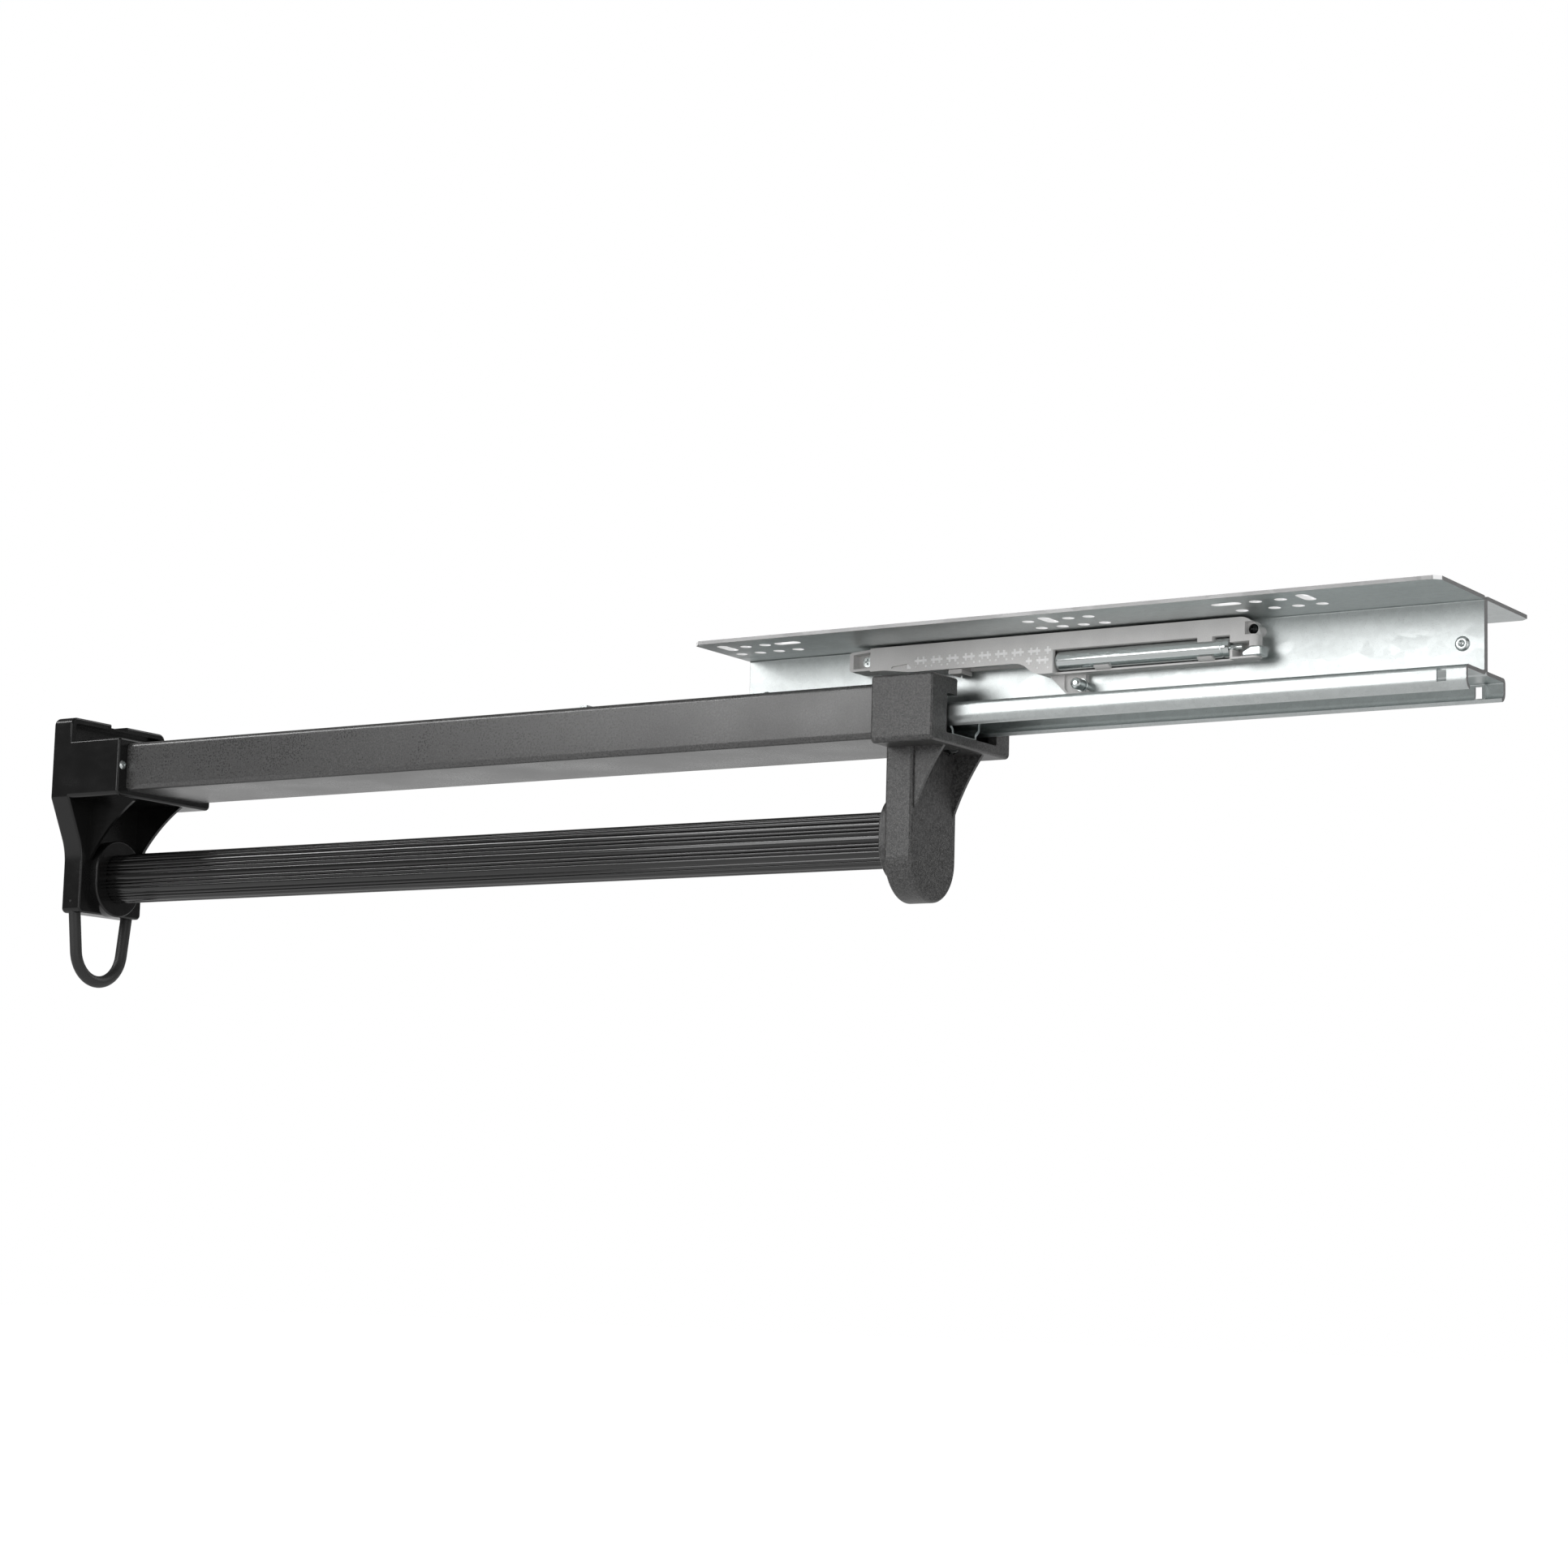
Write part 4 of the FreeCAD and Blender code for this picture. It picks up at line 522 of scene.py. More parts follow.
@dataclass(frozen=True)
class GalvanisedSheet:
    """Zinc-coated sheet: faint spangle, rolling streaks, dull specks, bare cut edges and a painted highlight
    on the walls of the flanges' holes.
    """

    name: str = "galvanised_sheet"
    level: float = 0.73
    roughness: float = 0.36
    spangle: float = 5.5
    fine_share: float = 0.35
    streak: float = 2.2
    cloud: float = 30.0
    speck: float = 0.5
    cut_level: float = 0.42
    cut_roughness: float = 0.12
    cut_places: tuple[float, ...] = (174.85, 47.85)
    flange_bottom: float = -1.55
    upright_limit: float = 0.4
    # The walls of the flanges' holes are painted near-white and hardly metallic: a painted highlight.
    hole_highlight_level: float = 0.95
    hole_highlight_metal: float = 0.1

    def cut_edge(self, sheet: Sheet) -> Socket:
        """Finds the sheet's ends.

        Args:
            sheet: Node sheet of the material.

        Returns:
            One beyond the cut places of X and Y, zero between them.
        """
        total = 0.0
        for place, value in zip(self.cut_places, sheet.split(sheet.places)):
            beyond = sheet.combine(sheet.unsigned(value), place * MM, Maths.GREATER)
            total = sheet.combine(total, beyond, Maths.MAXIMUM)
        return total

    def hole_wall_highlight(self, sheet: Sheet, cut: Socket) -> Socket:
        """Finds the walls of the flanges' holes, which get a painted highlight.

        Args:
            sheet: Node sheet of the material.
            cut: One on the sheet's ends.

        Returns:
            One on the upright walls of the holes, zero elsewhere.
        """
        upright = sheet.combine(sheet.unsigned(sheet.split(sheet.normals)[2]), self.upright_limit,
                                Maths.LESS)
        high = sheet.combine(sheet.split(sheet.places)[2], self.flange_bottom * MM, Maths.GREATER)
        inner = sheet.combine(1.0, cut, Maths.SUBTRACT)
        return sheet.combine(sheet.combine(upright, high, Maths.MULTIPLY), inner, Maths.MULTIPLY)

    def material(self) -> bpy.types.Material:
        """Builds the material.

        Returns:
            The material.
        """
        sheet = Sheet(self.name)
        cell = sheet.cells(self.spangle, (0.7, 1, 1))
        small_cell = sheet.cells(self.spangle * self.fine_share)
        streak = sheet.noise(self.streak, 3, (0.05, 1, 1))
        cloud = sheet.noise(self.cloud, 3, (0.5, 1, 1))
        speck = sheet.noise(self.speck, 2)
        mixed = sheet.combine(sheet.combine(cell, small_cell), sheet.combine(streak, cloud))
        base = sheet.tint(sheet.span(mixed, 1.2, 2.8), steel(self.level * 0.93), steel(self.level * 1.05))
        wear_and_painted_highlight = sheet.tint(sheet.span(speck, 0.60, 0.72, 0.0, 0.45), base, steel(self.level * 0.62))
        rough = sheet.span(sheet.combine(cell, cloud), 0.4, 1.6,
                           self.roughness - 0.03, self.roughness + 0.05)
        normal = sheet.relief(sheet.combine(speck, streak), 0.02, strength=0.22)
        if self.cut_places:
            cut = self.cut_edge(sheet)
            # Painted highlight: the walls of the flanges' holes turn near-white and hardly metallic, over
            # the real specks and cut edges.
            hole_highlight = self.hole_wall_highlight(sheet, cut)
            wear_and_painted_highlight = sheet.tint(hole_highlight, sheet.tint(cut, wear_and_painted_highlight, grey(self.cut_level)), grey(self.hole_highlight_level))
            rough = sheet.combine(rough, sheet.combine(cut, self.cut_roughness, Maths.MULTIPLY))
            sheet.shade(Metallic=sheet.span(hole_highlight, 0.0, 1.0, 1.0, self.hole_highlight_metal))
        else:
            sheet.shade(Metallic=1.0)
        sheet.shade(Base_Color=wear_and_painted_highlight, Roughness=rough, Normal=normal)
        return sheet.material


@dataclass(frozen=True)
class BrightMetal:
    """Zinc or nickel-plated steel with fine turning or drawing lines."""

    name: str = "bright_zinc"
    level: float = 0.78
    roughness: float = 0.22
    line: float = 0.45
    cloud: float = 6.0
    lines: Place = (1.0, 1.0, 1.0)
    relief: float = 0.25

    def material(self) -> bpy.types.Material:
        """Builds the material.

        Returns:
            The material.
        """
        sheet = Sheet(self.name)
        line = sheet.noise(self.line, 2, self.lines)
        cloud = sheet.noise(self.cloud, 2, self.lines)
        base = sheet.tint(sheet.span(sheet.combine(line, cloud), 0.6, 1.4), steel(self.level * 0.82),
                          steel(self.level * 1.12))
        rough = sheet.span(cloud, 0.3, 0.7, self.roughness * 0.8, self.roughness * 1.3)
        sheet.shade(Base_Color=base, Metallic=1.0, Roughness=rough,
                    Normal=sheet.relief(line, 0.01, strength=self.relief))
        return sheet.material


@dataclass(frozen=True)
class GrainedBlack:
    """Black coat or moulding: speckled grain with a soft gloss on its bumps."""

    name: str
    fleck_level: float
    depth: float
    roughness: float
    specular: float
    level: float = 0.018
    grain: float = 0.9
    cloud: float = 40.0
    relief: float = 0.5
    coat: float = 0.0

    def material(self) -> bpy.types.Material:
        """Builds the material.

        Returns:
            The material.
        """
        sheet = Sheet(self.name)
        grain = sheet.noise(self.grain, 3, roughness=0.6)
        fine = sheet.noise(self.grain * 0.35, 2)
        cloud = sheet.noise(self.cloud, 3)
        fleck = sheet.span(sheet.combine(grain, fine), 0.86, 1.30)
        base = sheet.tint(fleck, grey(self.level, 0.01), grey(self.fleck_level, 0.01))
        rough = sheet.span(sheet.combine(grain, cloud), 0.7, 1.3,
                           self.roughness - 0.07, self.roughness + 0.09)
        normal = sheet.relief(sheet.combine(grain, fine), self.depth, strength=self.relief)
        sheet.shade(Base_Color=base, Roughness=rough, Specular_IOR_Level=self.specular, Normal=normal,
                    Coat_Weight=self.coat, Coat_Roughness=self.roughness)
        return sheet.material


@dataclass(frozen=True)
class MouldedPlastic:
    """Plain moulded plastic: faint flow clouds, fine skin and small scuffs."""

    name: str
    level: float
    roughness: float
    warmth: float = 0.0
    specular: float = 0.5
    cloud: float = 18.0
    skin: float = 0.25
    scuff: float = 3.5
    depth: float = 0.012

    def material(self) -> bpy.types.Material:
        """Builds the material.

        Returns:
            The material.
        """
        sheet = Sheet(self.name)
        cloud = sheet.noise(self.cloud, 3)
        skin = sheet.noise(self.skin, 2)
        scuff = sheet.noise(self.scuff, 4, (0.35, 1, 1), 0.7)
        base = sheet.tint(sheet.span(cloud, 0.3, 0.7), grey(self.level * 0.88, self.warmth),
                          grey(self.level * 1.12, self.warmth))
        marked = sheet.tint(sheet.span(scuff, 0.64, 0.8, 0.0, 0.3), base,
                            grey(self.level * 1.7, self.warmth))
        rough = sheet.span(sheet.combine(cloud, scuff), 0.7, 1.3,
                           self.roughness - 0.05, self.roughness + 0.08)
        sheet.shade(Base_Color=marked, Roughness=rough, Specular_IOR_Level=self.specular,
                    Normal=sheet.relief(skin, self.depth, strength=0.4))
        return sheet.material


@dataclass(frozen=True)
class OrnamentedPlastic:
    """Warm grey moulding whose shallow crosses and dots are filled with white."""

    name: str = "housing_plastic"
    level: float = 0.68
    warmth: float = 0.012
    paint_level: float = 0.93
    roughness: float = 0.42
    specular: float = 0.4
    cloud: float = 14.0
    skin: float = 0.45
    face_y: float = -12.6
    paint_depth: float = 0.06
    recess_depth: float = 1.0
    x_range: tuple[float, float] = (-86.0, -12.8)
    z_range: tuple[float, float] = (-18.9, -7.0)

    def inside(self, sheet: Sheet, value: Socket, low: float, high: float) -> Socket:
        """One between two places in millimetres, zero outside them."""
        above = sheet.combine(value, low * MM, Maths.GREATER)
        return sheet.combine(above, sheet.combine(value, high * MM, Maths.LESS), Maths.MULTIPLY)

    def material(self) -> bpy.types.Material:
        """Builds the material.

        Returns:
            The material.
        """
        sheet = Sheet(self.name)
        cloud = sheet.noise(self.cloud, 3)
        skin = sheet.noise(self.skin, 3)
        base = sheet.tint(sheet.span(sheet.combine(cloud, skin), 0.6, 1.4),
                          grey(self.level * 0.88, self.warmth), grey(self.level * 1.1, self.warmth))
        x, y, z = sheet.split(sheet.places)
        recess = self.inside(sheet, y, self.face_y + self.paint_depth, self.face_y + self.recess_depth)
        along, upright = self.inside(sheet, x, *self.x_range), self.inside(sheet, z, *self.z_range)
        field = sheet.combine(along, upright, Maths.MULTIPLY)
        painted = sheet.tint(sheet.combine(recess, field, Maths.MULTIPLY), base, grey(self.paint_level))
        rough = sheet.span(skin, 0.3, 0.7, self.roughness - 0.05, self.roughness + 0.07)
        sheet.shade(Base_Color=painted, Roughness=rough, Specular_IOR_Level=self.specular,
                    Normal=sheet.relief(skin, 0.03, strength=0.4))
        return sheet.material


@dataclass(frozen=True)
class ExtrudedCover:
    """Glossy black extrusion whose faint die lines run along it."""

    name: str = "rod_cover"
    level: float = 0.004
    roughness: float = 0.13
    specular: float = 0.9
    line: float = 0.8
    band: float = 60.0

    def material(self) -> bpy.types.Material:
        """Builds the material.

        Returns:
            The material.
        """
        sheet = Sheet(self.name)
        line = sheet.noise(self.line, 2, (0.004, 1, 1))
        band = sheet.noise(self.band, 2, (0.3, 1, 1))
        lines = sheet.combine(line, band)
        base = sheet.tint(sheet.span(lines, 0.7, 1.3), grey(self.level * 0.7), grey(self.level * 1.5))
        rough = sheet.span(lines, 0.6, 1.4, self.roughness - 0.03, self.roughness + 0.05)
        sheet.shade(Base_Color=base, Roughness=rough, Specular_IOR_Level=self.specular)
        return sheet.material


class Finishes:
    """The object's materials, each made once."""

    def __init__(self) -> None:
        """Builds every material."""
        self.galvanised = GalvanisedSheet().material()
        self.channel_steel = GalvanisedSheet("channel_sheet", level=0.70, spangle=4.0, roughness=0.32,
                                             cut_places=()).material()
        self.zinc = BrightMetal().material()
        self.drawn_zinc = BrightMetal("drawn_cylinder", level=0.80, roughness=0.15, lines=(0.01, 1.0, 1.0),
                                       relief=0.0).material()
        self.black_steel = BrightMetal("black_steel", level=0.03, roughness=0.17).material()
        self.spring_steel = BrightMetal("spring_steel", level=0.50, roughness=0.28).material()
        self.ball_steel = BrightMetal("ball_steel", level=0.75, roughness=0.12).material()
        self.aluminium = BrightMetal("mill_aluminium", level=0.72, roughness=0.35,
                                     lines=(0.03, 1.0, 1.0)).material()
        self.housing = OrnamentedPlastic().material()
        self.catch = MouldedPlastic("catch_plastic", level=0.42, warmth=0.02, roughness=0.38).material()
        self.tube = GrainedBlack("tube_coat", fleck_level=0.085, depth=0.04, roughness=0.30, specular=1.0,
                                 coat=0.3).material()
        self.rear = GrainedBlack("rear_moulding", fleck_level=0.110, depth=0.10, roughness=0.36,
                                 specular=0.75, relief=0.8).material()
        # Black glossy plastic, with its base set darker still as painted shade, because the lamps light the
        # front bracket less.
        self.front = MouldedPlastic("front_moulding", level=0.005, roughness=0.20).material()
        self.rod = ExtrudedCover().material()
        self.loop = MouldedPlastic("loop_moulding", level=0.022, roughness=0.42).material()


# --- Sub-assemblies -----------------------------------------------------------------------------------
# All lengths are in millimetres and angles in degrees.

@dataclass
class SubAssembly:
    """What every sub-assembly has: the finishes and the ways to show its pieces."""

    finishes: Finishes

    def dress(self, node: str, material: bpy.types.Material) -> None:
        """Gives a CAD node a finish.

        Args:
            node: Name of the node.
            material: Its finish.
        """
        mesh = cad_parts[node].data
        mesh.materials.clear()
        mesh.materials.append(material)
        log.info("dressed %s", node)

    def stand_in(self, node: str, mesh: bpy.types.Mesh, material: bpy.types.Material, body: Body,
                 slot: str) -> None:
        """Shows a finished mesh in the place of a CAD node.

        Args:
            node: The node that it replaces.
            mesh: The finished mesh, in place.
            material: Its finish.
            body: Body that it rides on.
            slot: Name of a material slot; not used.
        """
        mesh.materials.clear()
        mesh.materials.append(material)
        piece = bpy.data.objects.new(node + "_piece", mesh)
        bpy.context.scene.collection.objects.link(piece)
        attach(piece, body.value)
        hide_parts(node)
        log.info("made %s: %d faces", piece.name, len(mesh.polygons))

    def soften(self, node: str, edge: float, material: bpy.types.Material, body: Body, slot: str,
               segments: int = 2) -> None:
        """Shows a CAD node with its sharp edges rounded over."""
        self.stand_in(node, softened_copy(node, edge, segments), material, body, slot)


@dataclass
class CeilingRail(SubAssembly):
    """The two folded halves of the rail and the rivets through their webs."""

    edge: float = 0.18
    rivet_x: float = 165.7
    rivet_z: float = -18.9
    rivet_radius: float = 3.05
    web_face: float = 1.6

    def rivet_profile(self) -> Profile:
        """Profile of a tubular rivet: a rolled rim round a dimple on each end.

        Returns:
            Distances from the middle and radii.
        """
        rim = [(0.0, self.rivet_radius), (0.45, self.rivet_radius - 0.05), (0.85, self.rivet_radius - 0.4),
               (1.05, self.rivet_radius - 0.9), (1.0, 1.5), (0.75, 1.25), (0.35, 1.1), (0.1, 0.7),
               (0.05, 0.05)]
        near = [(-self.web_face - rise, radius) for rise, radius in reversed(rim)]
        return near + [(self.web_face + rise, radius) for rise, radius in rim]

    def build(self) -> None:
        """Rounds the sheet's cut edges over and makes the rivets."""
        for node in ("rail_near_half", "rail_far_half"):
            self.soften(node, self.edge, self.finishes.galvanised, Body.RAIL, "galvanised_steel")
        rivets = [ring_mesh("rivet", turned(self.rivet_profile(), Axis.Y, (x, 0.0, self.rivet_z), 40))
                  for x in (-self.rivet_x, self.rivet_x)]
        self.stand_in("web_rivets", smoothed(joined("web_rivets", rivets), 40), self.finishes.zinc,
                      Body.RAIL, "zinc_steel")


@dataclass
class SoftCloseUnit(SubAssembly):
    """Housing, damper, peg, screws and the catch that slides in it."""

    housing_edge: float = 0.11
    catch_edge: float = 0.22
    lug_edge: float = 0.7
    screw_edge: float = 0.1
    cylinder_radius: float = 4.25
    cylinder_front: float = -12.8
    cylinder_rear: float = 68.1
    cylinder_y: float = -8.2
    cylinder_z: float = -14.3
    crimp_length: float = 4.0
    neck_radius: float = 1.5
    neck_end: float = 73.0
    peg_x: float = -2.9
    peg_z: float = -24.7
    peg_radius: float = 2.5
    peg_root: float = -1.6
    peg_flange: tuple[float, float] = (-5.9, -6.6)
    peg_flange_radius: float = 2.9
    peg_shoulder: float = -7.2
    peg_end: float = -12.5
    peg_neck: float = 1.6
    peg_groove: float = 2.0

    def cylinder(self) -> bpy.types.Mesh:
        """Damper cylinder: rolled front edge, crimp before the tail and a thin neck.

        Returns:
            The mesh.
        """
        radius, front, rear = self.cylinder_radius, self.cylinder_front, self.cylinder_rear
        crimp = rear - self.crimp_length
        profile = [(front, 1.2), (front, radius - 0.9), (front + 0.12, radius - 0.5),
                   (front + 0.5, radius - 0.15), (front + 1.1, radius), (crimp, radius),
                   (crimp + 0.3, radius - 0.25), (crimp + 0.9, radius - 0.25), (crimp + 1.2, radius),
                   (rear - 0.7, radius), (rear - 0.2, radius - 0.25), (rear, radius - 0.7),
                   (rear, self.neck_radius + 0.1), (rear + 0.2, self.neck_radius),
                   (self.neck_end, self.neck_radius)]
        rings = turned(profile, Axis.X, (0.0, self.cylinder_y, self.cylinder_z), 72)
        return smoothed(ring_mesh("damper_cylinder", rings), 30)

    def peg(self) -> bpy.types.Mesh:
        """Steel peg: a neck in the ear's slot, a flange, a groove and a thick, domed end.

        Returns:
            The mesh.
        """
        radius, rim = self.peg_radius, self.peg_flange_radius
        rear, front = self.peg_flange
        profile = [(self.peg_root, self.peg_neck), (rear, self.peg_neck), (rear, rim - 0.15),
                   (rear - 0.15, rim), (front + 0.15, rim), (front, rim - 0.15), (front, self.peg_groove),
                   (self.peg_shoulder, self.peg_groove), (self.peg_shoulder, radius - 0.25),
                   (self.peg_shoulder - 0.25, radius), (self.peg_end + 1.3, radius),
                   (self.peg_end + 0.6, radius - 0.25), (self.peg_end + 0.15, radius - 0.9),
                   (self.peg_end, radius - 1.7), (self.peg_end, 0.05)]
        rings = turned(profile, Axis.Y, (self.peg_x, 0.0, self.peg_z))
        return smoothed(ring_mesh("locating_peg", rings), 35)

    def build(self) -> None:
        """Makes and dresses the unit's pieces."""
        finishes = self.finishes
        self.soften("soft_close_housing", self.housing_edge, finishes.housing, Body.RAIL, "damper_plastic")
        self.stand_in("damper_cylinder", self.cylinder(), finishes.drawn_zinc, Body.RAIL, "zinc_steel")
        self.stand_in("locating_peg", self.peg(), finishes.zinc, Body.RAIL, "zinc_steel")
        self.soften("damper_tail_lug", self.lug_edge, finishes.zinc, Body.RAIL, "zinc_steel", 4)
        self.soften("catch_slider", self.catch_edge, finishes.catch, Body.CATCH, "catch_plastic")
        self.soften("housing_front_screw", self.screw_edge, finishes.zinc, Body.RAIL, "zinc_steel")
        self.soften("housing_rear_screw", self.screw_edge, finishes.black_steel, Body.RAIL, "black_screw")
        self.dress("soft_close_back_plate", finishes.housing)
        self.dress("closing_spring", finishes.spring_steel)
        self.dress("piston_rod", finishes.zinc)


@dataclass
class BallTrack(SubAssembly):
    """Cage and balls between the rail and the channel."""

    def build(self) -> None:
        """Dresses the cage and the balls."""
        self.dress("ball_cage", self.finishes.zinc)
        self.dress("cage_balls", self.finishes.ball_steel)


@dataclass
class Carriage(SubAssembly):
    """Slotted tube, running channel, finger and their rivets."""

    tube_half: float = 28.0
    tube_top: float = -21.0
    tube_bottom: float = -45.2
    tube_wall: float = 1.6
    tube_bend: float = 1.2
    slot_half: float = 13.8
    lip_bottom: float = -26.4
    bend_step: float = 9.0
    sections: int = 24
    channel_edge: float = 0.12
    finger_edge: float = 0.25

    def tube(self) -> bpy.types.Mesh:
        """The folded tube, as its section carried along X between the ends of its CAD node.

        Returns:
            The mesh.
        """
        right = [(self.slot_half, self.lip_bottom, 0.0), (self.slot_half, self.tube_top, self.tube_bend),
                 (self.tube_half, self.tube_top, self.tube_bend),
                 (self.tube_half, self.tube_bottom, self.tube_bend)]
        path = [(-y, z, radius) for y, z, radius in right] + right[::-1]
        outline = rounded_outline(folded_outline(path, self.tube_wall), self.bend_step)
        low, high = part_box("hanger_tube")
        levels = np.linspace(low.x / MM, high.x / MM, self.sections)
        return smoothed(ring_mesh("hanger_tube", stacked(outline, levels, Axis.X)), 30)

    def build(self) -> None:
        """Makes the tube and dresses the pieces in it."""
        finishes = self.finishes
        self.stand_in("hanger_tube", self.tube(), finishes.tube, Body.CARRIAGE, "tube_coat")
        self.soften("inner_channel", self.channel_edge, finishes.channel_steel, Body.CARRIAGE,
                    "galvanised_steel")
        self.soften("catch_actuator", self.finger_edge, finishes.zinc, Body.CARRIAGE, "zinc_steel")
        for node in ("channel_rivets", "actuator_rivet"):
            self.dress(node, finishes.zinc)


@dataclass
class Brackets(SubAssembly):
    """Front and rear brackets with their screws."""

    edge: float = 0.45
    screw_edge: float = 0.1
    underside_screw_edge: float = 0.12

    def build(self) -> None:
        """Rounds the edges of the mouldings and the screws over."""
        finishes = self.finishes
        self.soften("front_bracket", self.edge, finishes.front, Body.CARRIAGE, "front_plastic", 3)
        self.soften("rear_bracket", self.edge, finishes.rear, Body.CARRIAGE, "rear_plastic", 3)
        self.soften("front_block_screws", self.screw_edge, finishes.zinc, Body.CARRIAGE, "zinc_steel")
        self.soften("rear_underside_screw", self.underside_screw_edge, finishes.black_steel, Body.CARRIAGE,
                    "black_screw")


@dataclass
class HangerRod(SubAssembly):
    """Oval rod: an aluminium core in a ribbed black cover."""

    half_width: float = 9.0
    half_height: float = 12.5
    centre_z: float = -86.0
    ribs: int = 30
    rib_depth: float = 0.85
    points_per_rib: int = 16
    waves: int = 10
    unevenness: float = 0.45
    cover: float = 1.4

    def oval(self, share: np.ndarray, depth: np.ndarray) -> np.ndarray:
        """Points round an upright oval with flat sides.

        The distance round it runs up one flat side, over the top half circle, down the other side and
        round the lower half circle, and depth draws a point in along the normal.

        Args:
            share: Share of the way round, from 0 to 1.
            depth: How far each point lies inside the oval.

        Returns:
            Y and Z of the points, shape (n, 2).
        """
        radius = self.half_width
        flat = 2 * (self.half_height - radius)
        arc = math.pi * radius
        distance = share * 2 * (flat + arc)
        side = np.where(distance < flat + arc, 1.0, -1.0)
        along = distance % (flat + arc)
        on_flat = along < flat
        angle = np.where(on_flat, 0.0, (along - flat) / radius)
        rise = np.where(on_flat, along - flat / 2, flat / 2 + (radius - depth) * np.sin(angle))
        y = (radius - depth) * np.cos(angle)
        return np.stack([side * y, self.centre_z + side * rise], 1)

    def sleeve(self) -> bpy.types.Mesh:
        """Ribbed cover: each rib is half an ellipse, rib_depth high, with a crease beside it.

        Broad and narrow ribs take turns, because the ribs are counted along share plus a sine of it.

        Returns:
            The mesh.
        """
        count = self.ribs * self.points_per_rib
        share = np.arange(count) / count
        turn = 2 * math.pi * self.waves
        phase = self.ribs * (share + self.unevenness * np.sin(turn * share) / turn) % 1.0
        rise = np.sqrt(np.clip(1 - (2 * phase - 1) ** 2, 0, 1))
        outer = self.oval(share, self.rib_depth * (1 - rise))
        inner = self.oval(share, np.full(count, self.cover))
        low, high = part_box("rod_sleeve")
        ends = [low.x / MM, high.x / MM]
        rings = np.concatenate([stacked(outer, ends, Axis.X), stacked(inner, ends[::-1], Axis.X)])
        return smoothed(ring_mesh("rod_sleeve", rings, loop=True), 50)

    def build(self) -> None:
        """Makes the cover and dresses the core."""
        self.stand_in("rod_sleeve", self.sleeve(), self.finishes.rod, Body.CARRIAGE, "rod_rubber")
        self.dress("rod_core", self.finishes.aluminium)


@dataclass
class PullLoop(SubAssembly):
    """Finger loop: a round bar on a path of two straight legs and an arc."""

    x: float = -571.5
    bar: float = 3.0
    radius: float = 16.3
    centre_z: float = -122.0
    lean: float = 7.0
    plug_top: float = -98.0
    arc_points: int = 49
    leg_points: int = 8
    sides: int = 28

    def path(self) -> np.ndarray:
        """Middle line of the bar: down one leg, round the arc and up the other leg.

        Returns:
            Y and Z of the points, shape (n, 2).
        """
        lean = math.radians(self.lean)
        angle = np.linspace(math.pi + lean, 2 * math.pi - lean, self.arc_points)
        arc = np.stack([self.radius * np.cos(angle), self.centre_z + self.radius * np.sin(angle)], 1)
        height = np.linspace(self.plug_top, arc[0, 1], self.leg_points)[:-1]
        foot = arc[0, 0]
        leg = np.stack([foot - (height - arc[0, 1]) * math.tan(lean), height], 1)
        return np.concatenate([leg, arc, leg[::-1] * (-1, 1)])

    def build(self) -> None:
        """Carries a circle along the path: centre + bar radius * (cos * normal + sin * X)."""
        line = self.path()
        tangent = np.gradient(line, axis=0)
        tangent /= np.linalg.norm(tangent, axis=1)[:, None]
        normal = np.stack([-tangent[:, 1], tangent[:, 0]], 1)
        angle = np.linspace(0, 2 * math.pi, self.sides, endpoint=False)
        rings = np.empty((len(line), self.sides, 3))
        rings[:, :, 0] = self.x + self.bar * np.sin(angle)
        rings[:, :, 1:] = line[:, None] + self.bar * normal[:, None] * np.cos(angle)[None, :, None]
        mesh = smoothed(ring_mesh("pull_loop", rings), 40)
        self.stand_in("pull_loop", mesh, self.finishes.loop, Body.CARRIAGE, "loop_plastic")


# --- Studio -------------------------------------------------------------------------------------------

@dataclass(frozen=True)
class Softbox:
    """Rectangular lamp: place and aim in metres, size in metres, power in watts."""

    name: str
    place: Place
    width: float
    height: float
    power: float
    aim: Place = (-0.1, 0.0, -0.04)


LAMPS = (
    Softbox("near_box", (-0.95, -1.98, 0.50), 1.2, 0.9, 10.5),
    Softbox("strip_box", (-1.65, -1.10, 1.20), 1.3, 0.20, 8.0),
    Softbox("fill_box", (1.90, -1.50, 0.20), 1.6, 1.6, 8.0),
    Softbox("back_box", (0.60, 1.80, 1.20), 1.4, 1.4, 10.0),
)


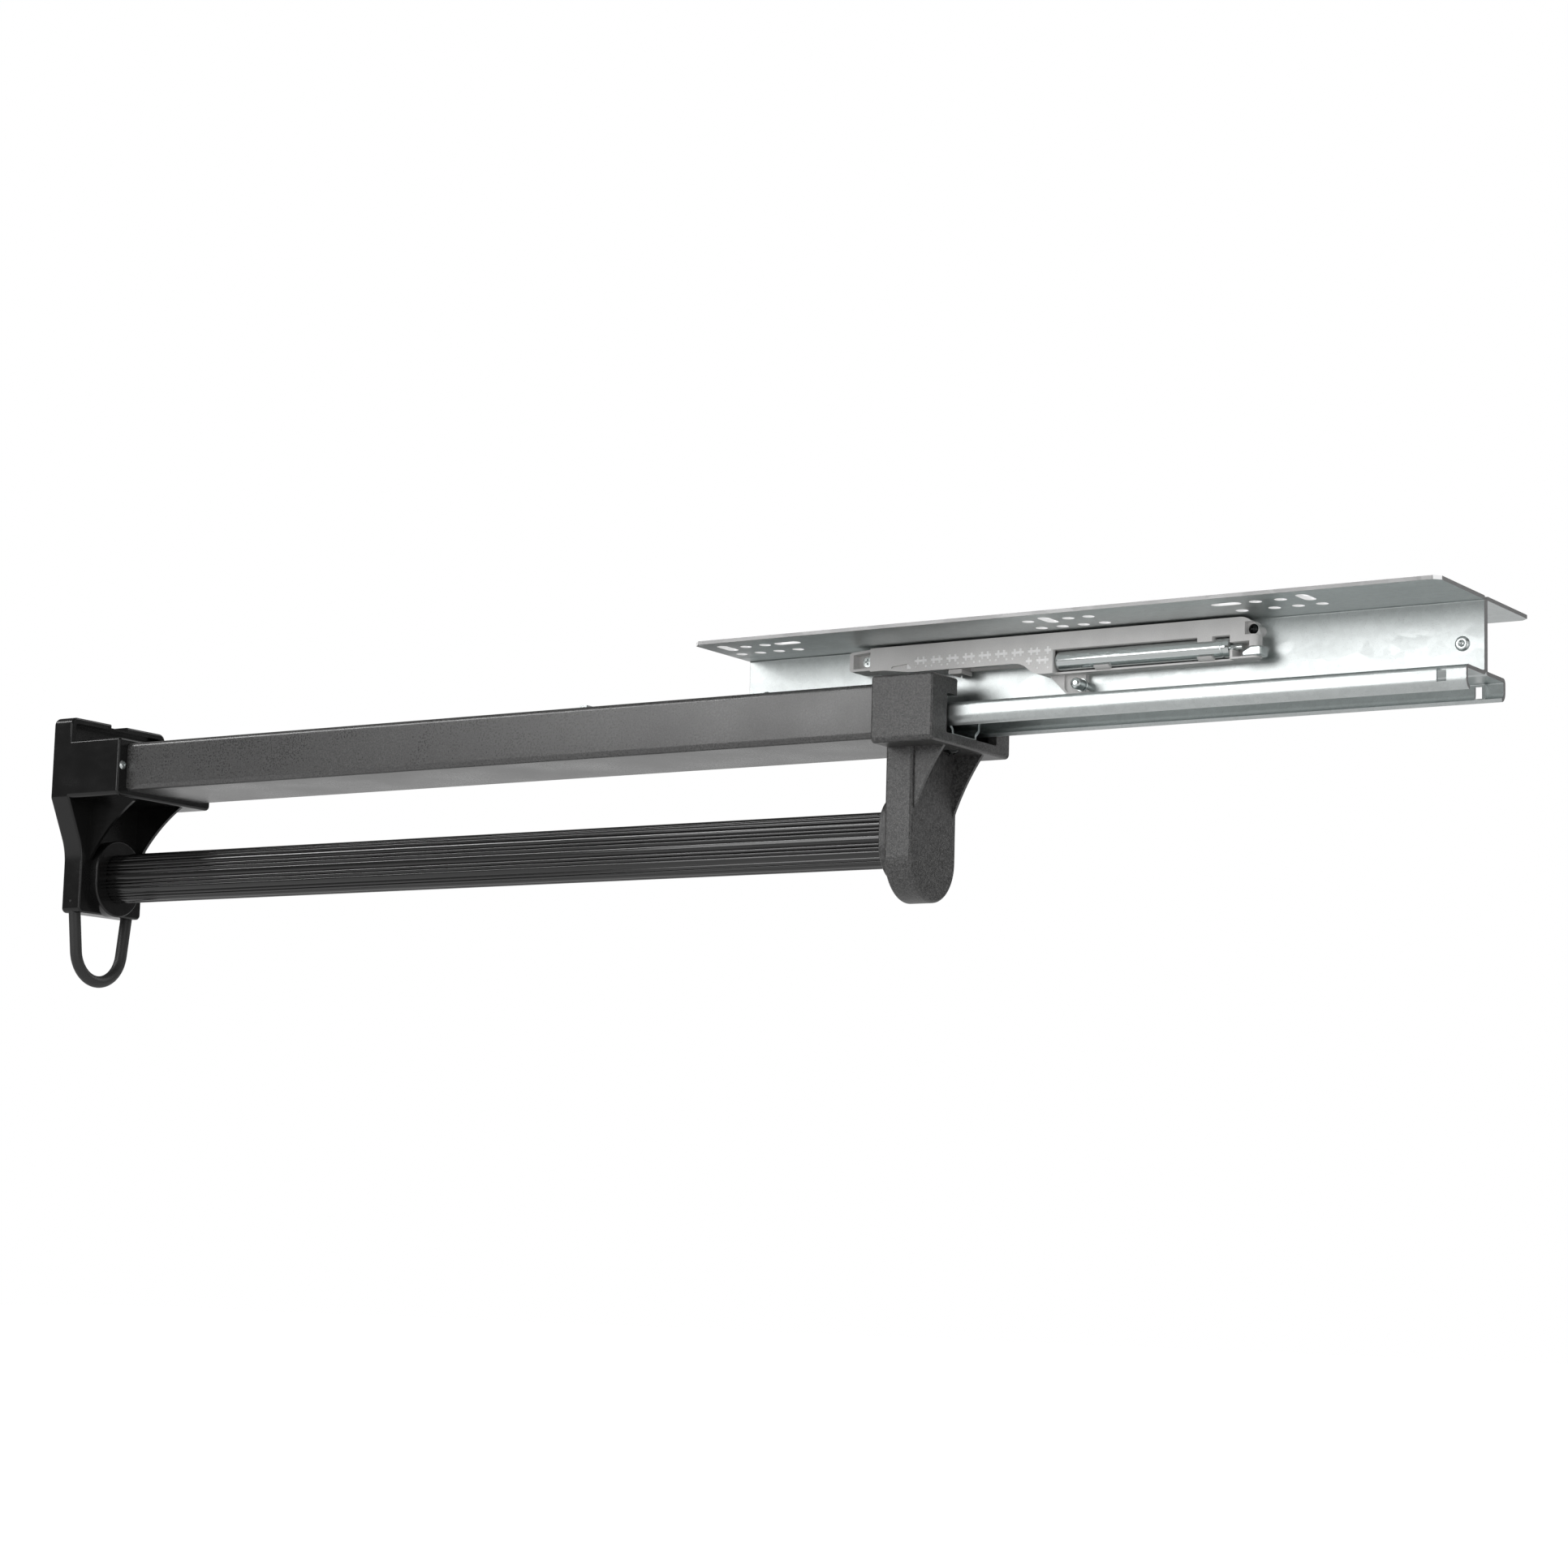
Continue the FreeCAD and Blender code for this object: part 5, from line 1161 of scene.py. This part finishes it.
@dataclass
class Studio:
    """Pale floor, soft lights and the camera.

    Lengths are in millimetres and angles in degrees. The floor's fades and the view's depth are in metres.
    """

    frame_pixels: float = 1932.0
    sensor: float = 36.0
    focal_pixels: float = 4226.14
    azimuth: float = 33.13
    elevation: float = -7.81
    roll: float = 1.51
    target: Place = (-153.91, -3.47, -58.73)
    distance: float = 1532.33
    view_depth: float = 50.0
    floor_z: float = -620.0
    floor_half: float = 12000.0
    floor_fade_x: tuple[float, float] = (-1.9, -2.5)
    floor_fade_y: tuple[float, float] = (-0.5, 1.5)
    floor_levels: tuple[float, float] = (0.62, 0.70)
    floor_grey: float = 0.62
    floor_seen: float = 1.2
    floor_glow: float = 0.95
    ambient: float = 0.86
    mirrored: float = 0.14

    def camera(self) -> None:
        """Camera at its azimuth, elevation and roll round the target, with no shift."""
        azimuth, elevation, roll = (math.radians(a) for a in (self.azimuth, self.elevation, self.roll))
        ahead = Vector((-math.sin(azimuth) * math.cos(elevation), math.cos(azimuth) * math.cos(elevation),
                        -math.sin(elevation)))
        level = Vector((math.cos(azimuth), math.sin(azimuth), 0))
        upright = level.cross(ahead)
        right = math.cos(roll) * level + math.sin(roll) * upright
        up = math.cos(roll) * upright - math.sin(roll) * level
        data = bpy.data.cameras.new("camera")
        data.sensor_width = self.sensor
        data.lens = self.focal_pixels * self.sensor / self.frame_pixels
        data.clip_end = self.view_depth
        camera = bpy.data.objects.new("camera", data)
        bpy.context.scene.collection.objects.link(camera)
        place = (Vector(self.target) - ahead * self.distance) * MM
        camera.matrix_world = Matrix.Translation(place) @ Matrix((right, up, -ahead)).transposed().to_4x4()
        bpy.context.scene.camera = camera

    def world(self) -> None:
        """White backdrop, a soft light for diffuse rays and a dim studio for mirrored rays."""
        world = bpy.data.worlds.new("studio")
        bpy.context.scene.world = world
        world.use_nodes = True
        wiring = Wiring(world.node_tree)
        strength = wiring.span(wiring.ray("Glossy"), 0.0, 1.0, self.ambient, self.mirrored)
        total = wiring.combine(strength, wiring.seen_directly(), Maths.MAXIMUM)
        shader = wiring.node("ShaderNodeBackground", {"Color": WHITE, "Strength": total})
        wiring.show(shader, "ShaderNodeOutputWorld")

    def floor(self) -> None:
        """Wide pale floor: white to the eye, and for mirrored rays bright on the far side."""
        half = self.floor_half * MM
        mesh = bpy.data.meshes.new("floor")
        mesh.from_pydata([(x * half, y * half, self.floor_z * MM)
                          for x, y in ((-1, -1), (1, -1), (1, 1), (-1, 1))], [], [(0, 1, 2, 3)])
        material = bpy.data.materials.new("pale_floor")
        material.use_nodes = True
        wiring = Wiring(material.node_tree)
        matt = wiring.node("ShaderNodeBsdfDiffuse", {"Color": (*grey(self.floor_grey), 1.0)})
        x, y, _ = wiring.split(wiring.node("ShaderNodeNewGeometry").outputs["Position"])
        share = wiring.combine(wiring.span(x, *self.floor_fade_x), wiring.span(y, *self.floor_fade_y),
                               Maths.MULTIPLY)
        level = wiring.span(share, 0.0, 1.0, *self.floor_levels)
        direct = wiring.seen_directly()
        shown = wiring.node("ShaderNodeMix", {"Factor": direct, "A": level, "B": self.floor_seen})
        glow = wiring.node("ShaderNodeEmission", {"Strength": shown.outputs["Result"]})
        glowing = wiring.combine(direct, wiring.ray("Glossy"), Maths.MAXIMUM)
        part = wiring.combine(glowing, self.floor_glow, Maths.MULTIPLY)
        wiring.show(wiring.node("ShaderNodeMixShader",
                                {"Fac": part, 1: matt.outputs[0], 2: glow.outputs[0]}))
        mesh.materials.append(material)
        floor = bpy.data.objects.new("floor", mesh)
        bpy.context.scene.collection.objects.link(floor)

    def lamp(self, softbox: Softbox) -> None:
        """Hangs one softbox.

        Args:
            softbox: Its place, aim, size and power.
        """
        data = bpy.data.lights.new(softbox.name, "AREA")
        data.shape = "RECTANGLE"
        data.size = softbox.width
        data.size_y = softbox.height
        data.energy = softbox.power
        lamp = bpy.data.objects.new(softbox.name, data)
        bpy.context.scene.collection.objects.link(lamp)
        lamp.location = softbox.place
        lamp.rotation_mode = "QUATERNION"
        lamp.rotation_quaternion = (Vector(softbox.aim) - Vector(softbox.place)).to_track_quat("-Z", "Y")

    def build(self) -> None:
        """Sets up the camera, the world, the floor and the lamps."""
        self.camera()
        self.world()
        self.floor()
        for lamp in LAMPS:
            self.lamp(lamp)
        bpy.context.scene.view_settings.view_transform = "Standard"


def main() -> None:
    """Builds the scene in order."""
    logging.basicConfig(level=logging.INFO, format="%(name)s: %(message)s")
    Studio().build()
    finishes = Finishes()
    for part in (CeilingRail, SoftCloseUnit, BallTrack, Carriage, Brackets, HangerRod, PullLoop):
        part(finishes).build()


if __name__ == "__main__":
    main()
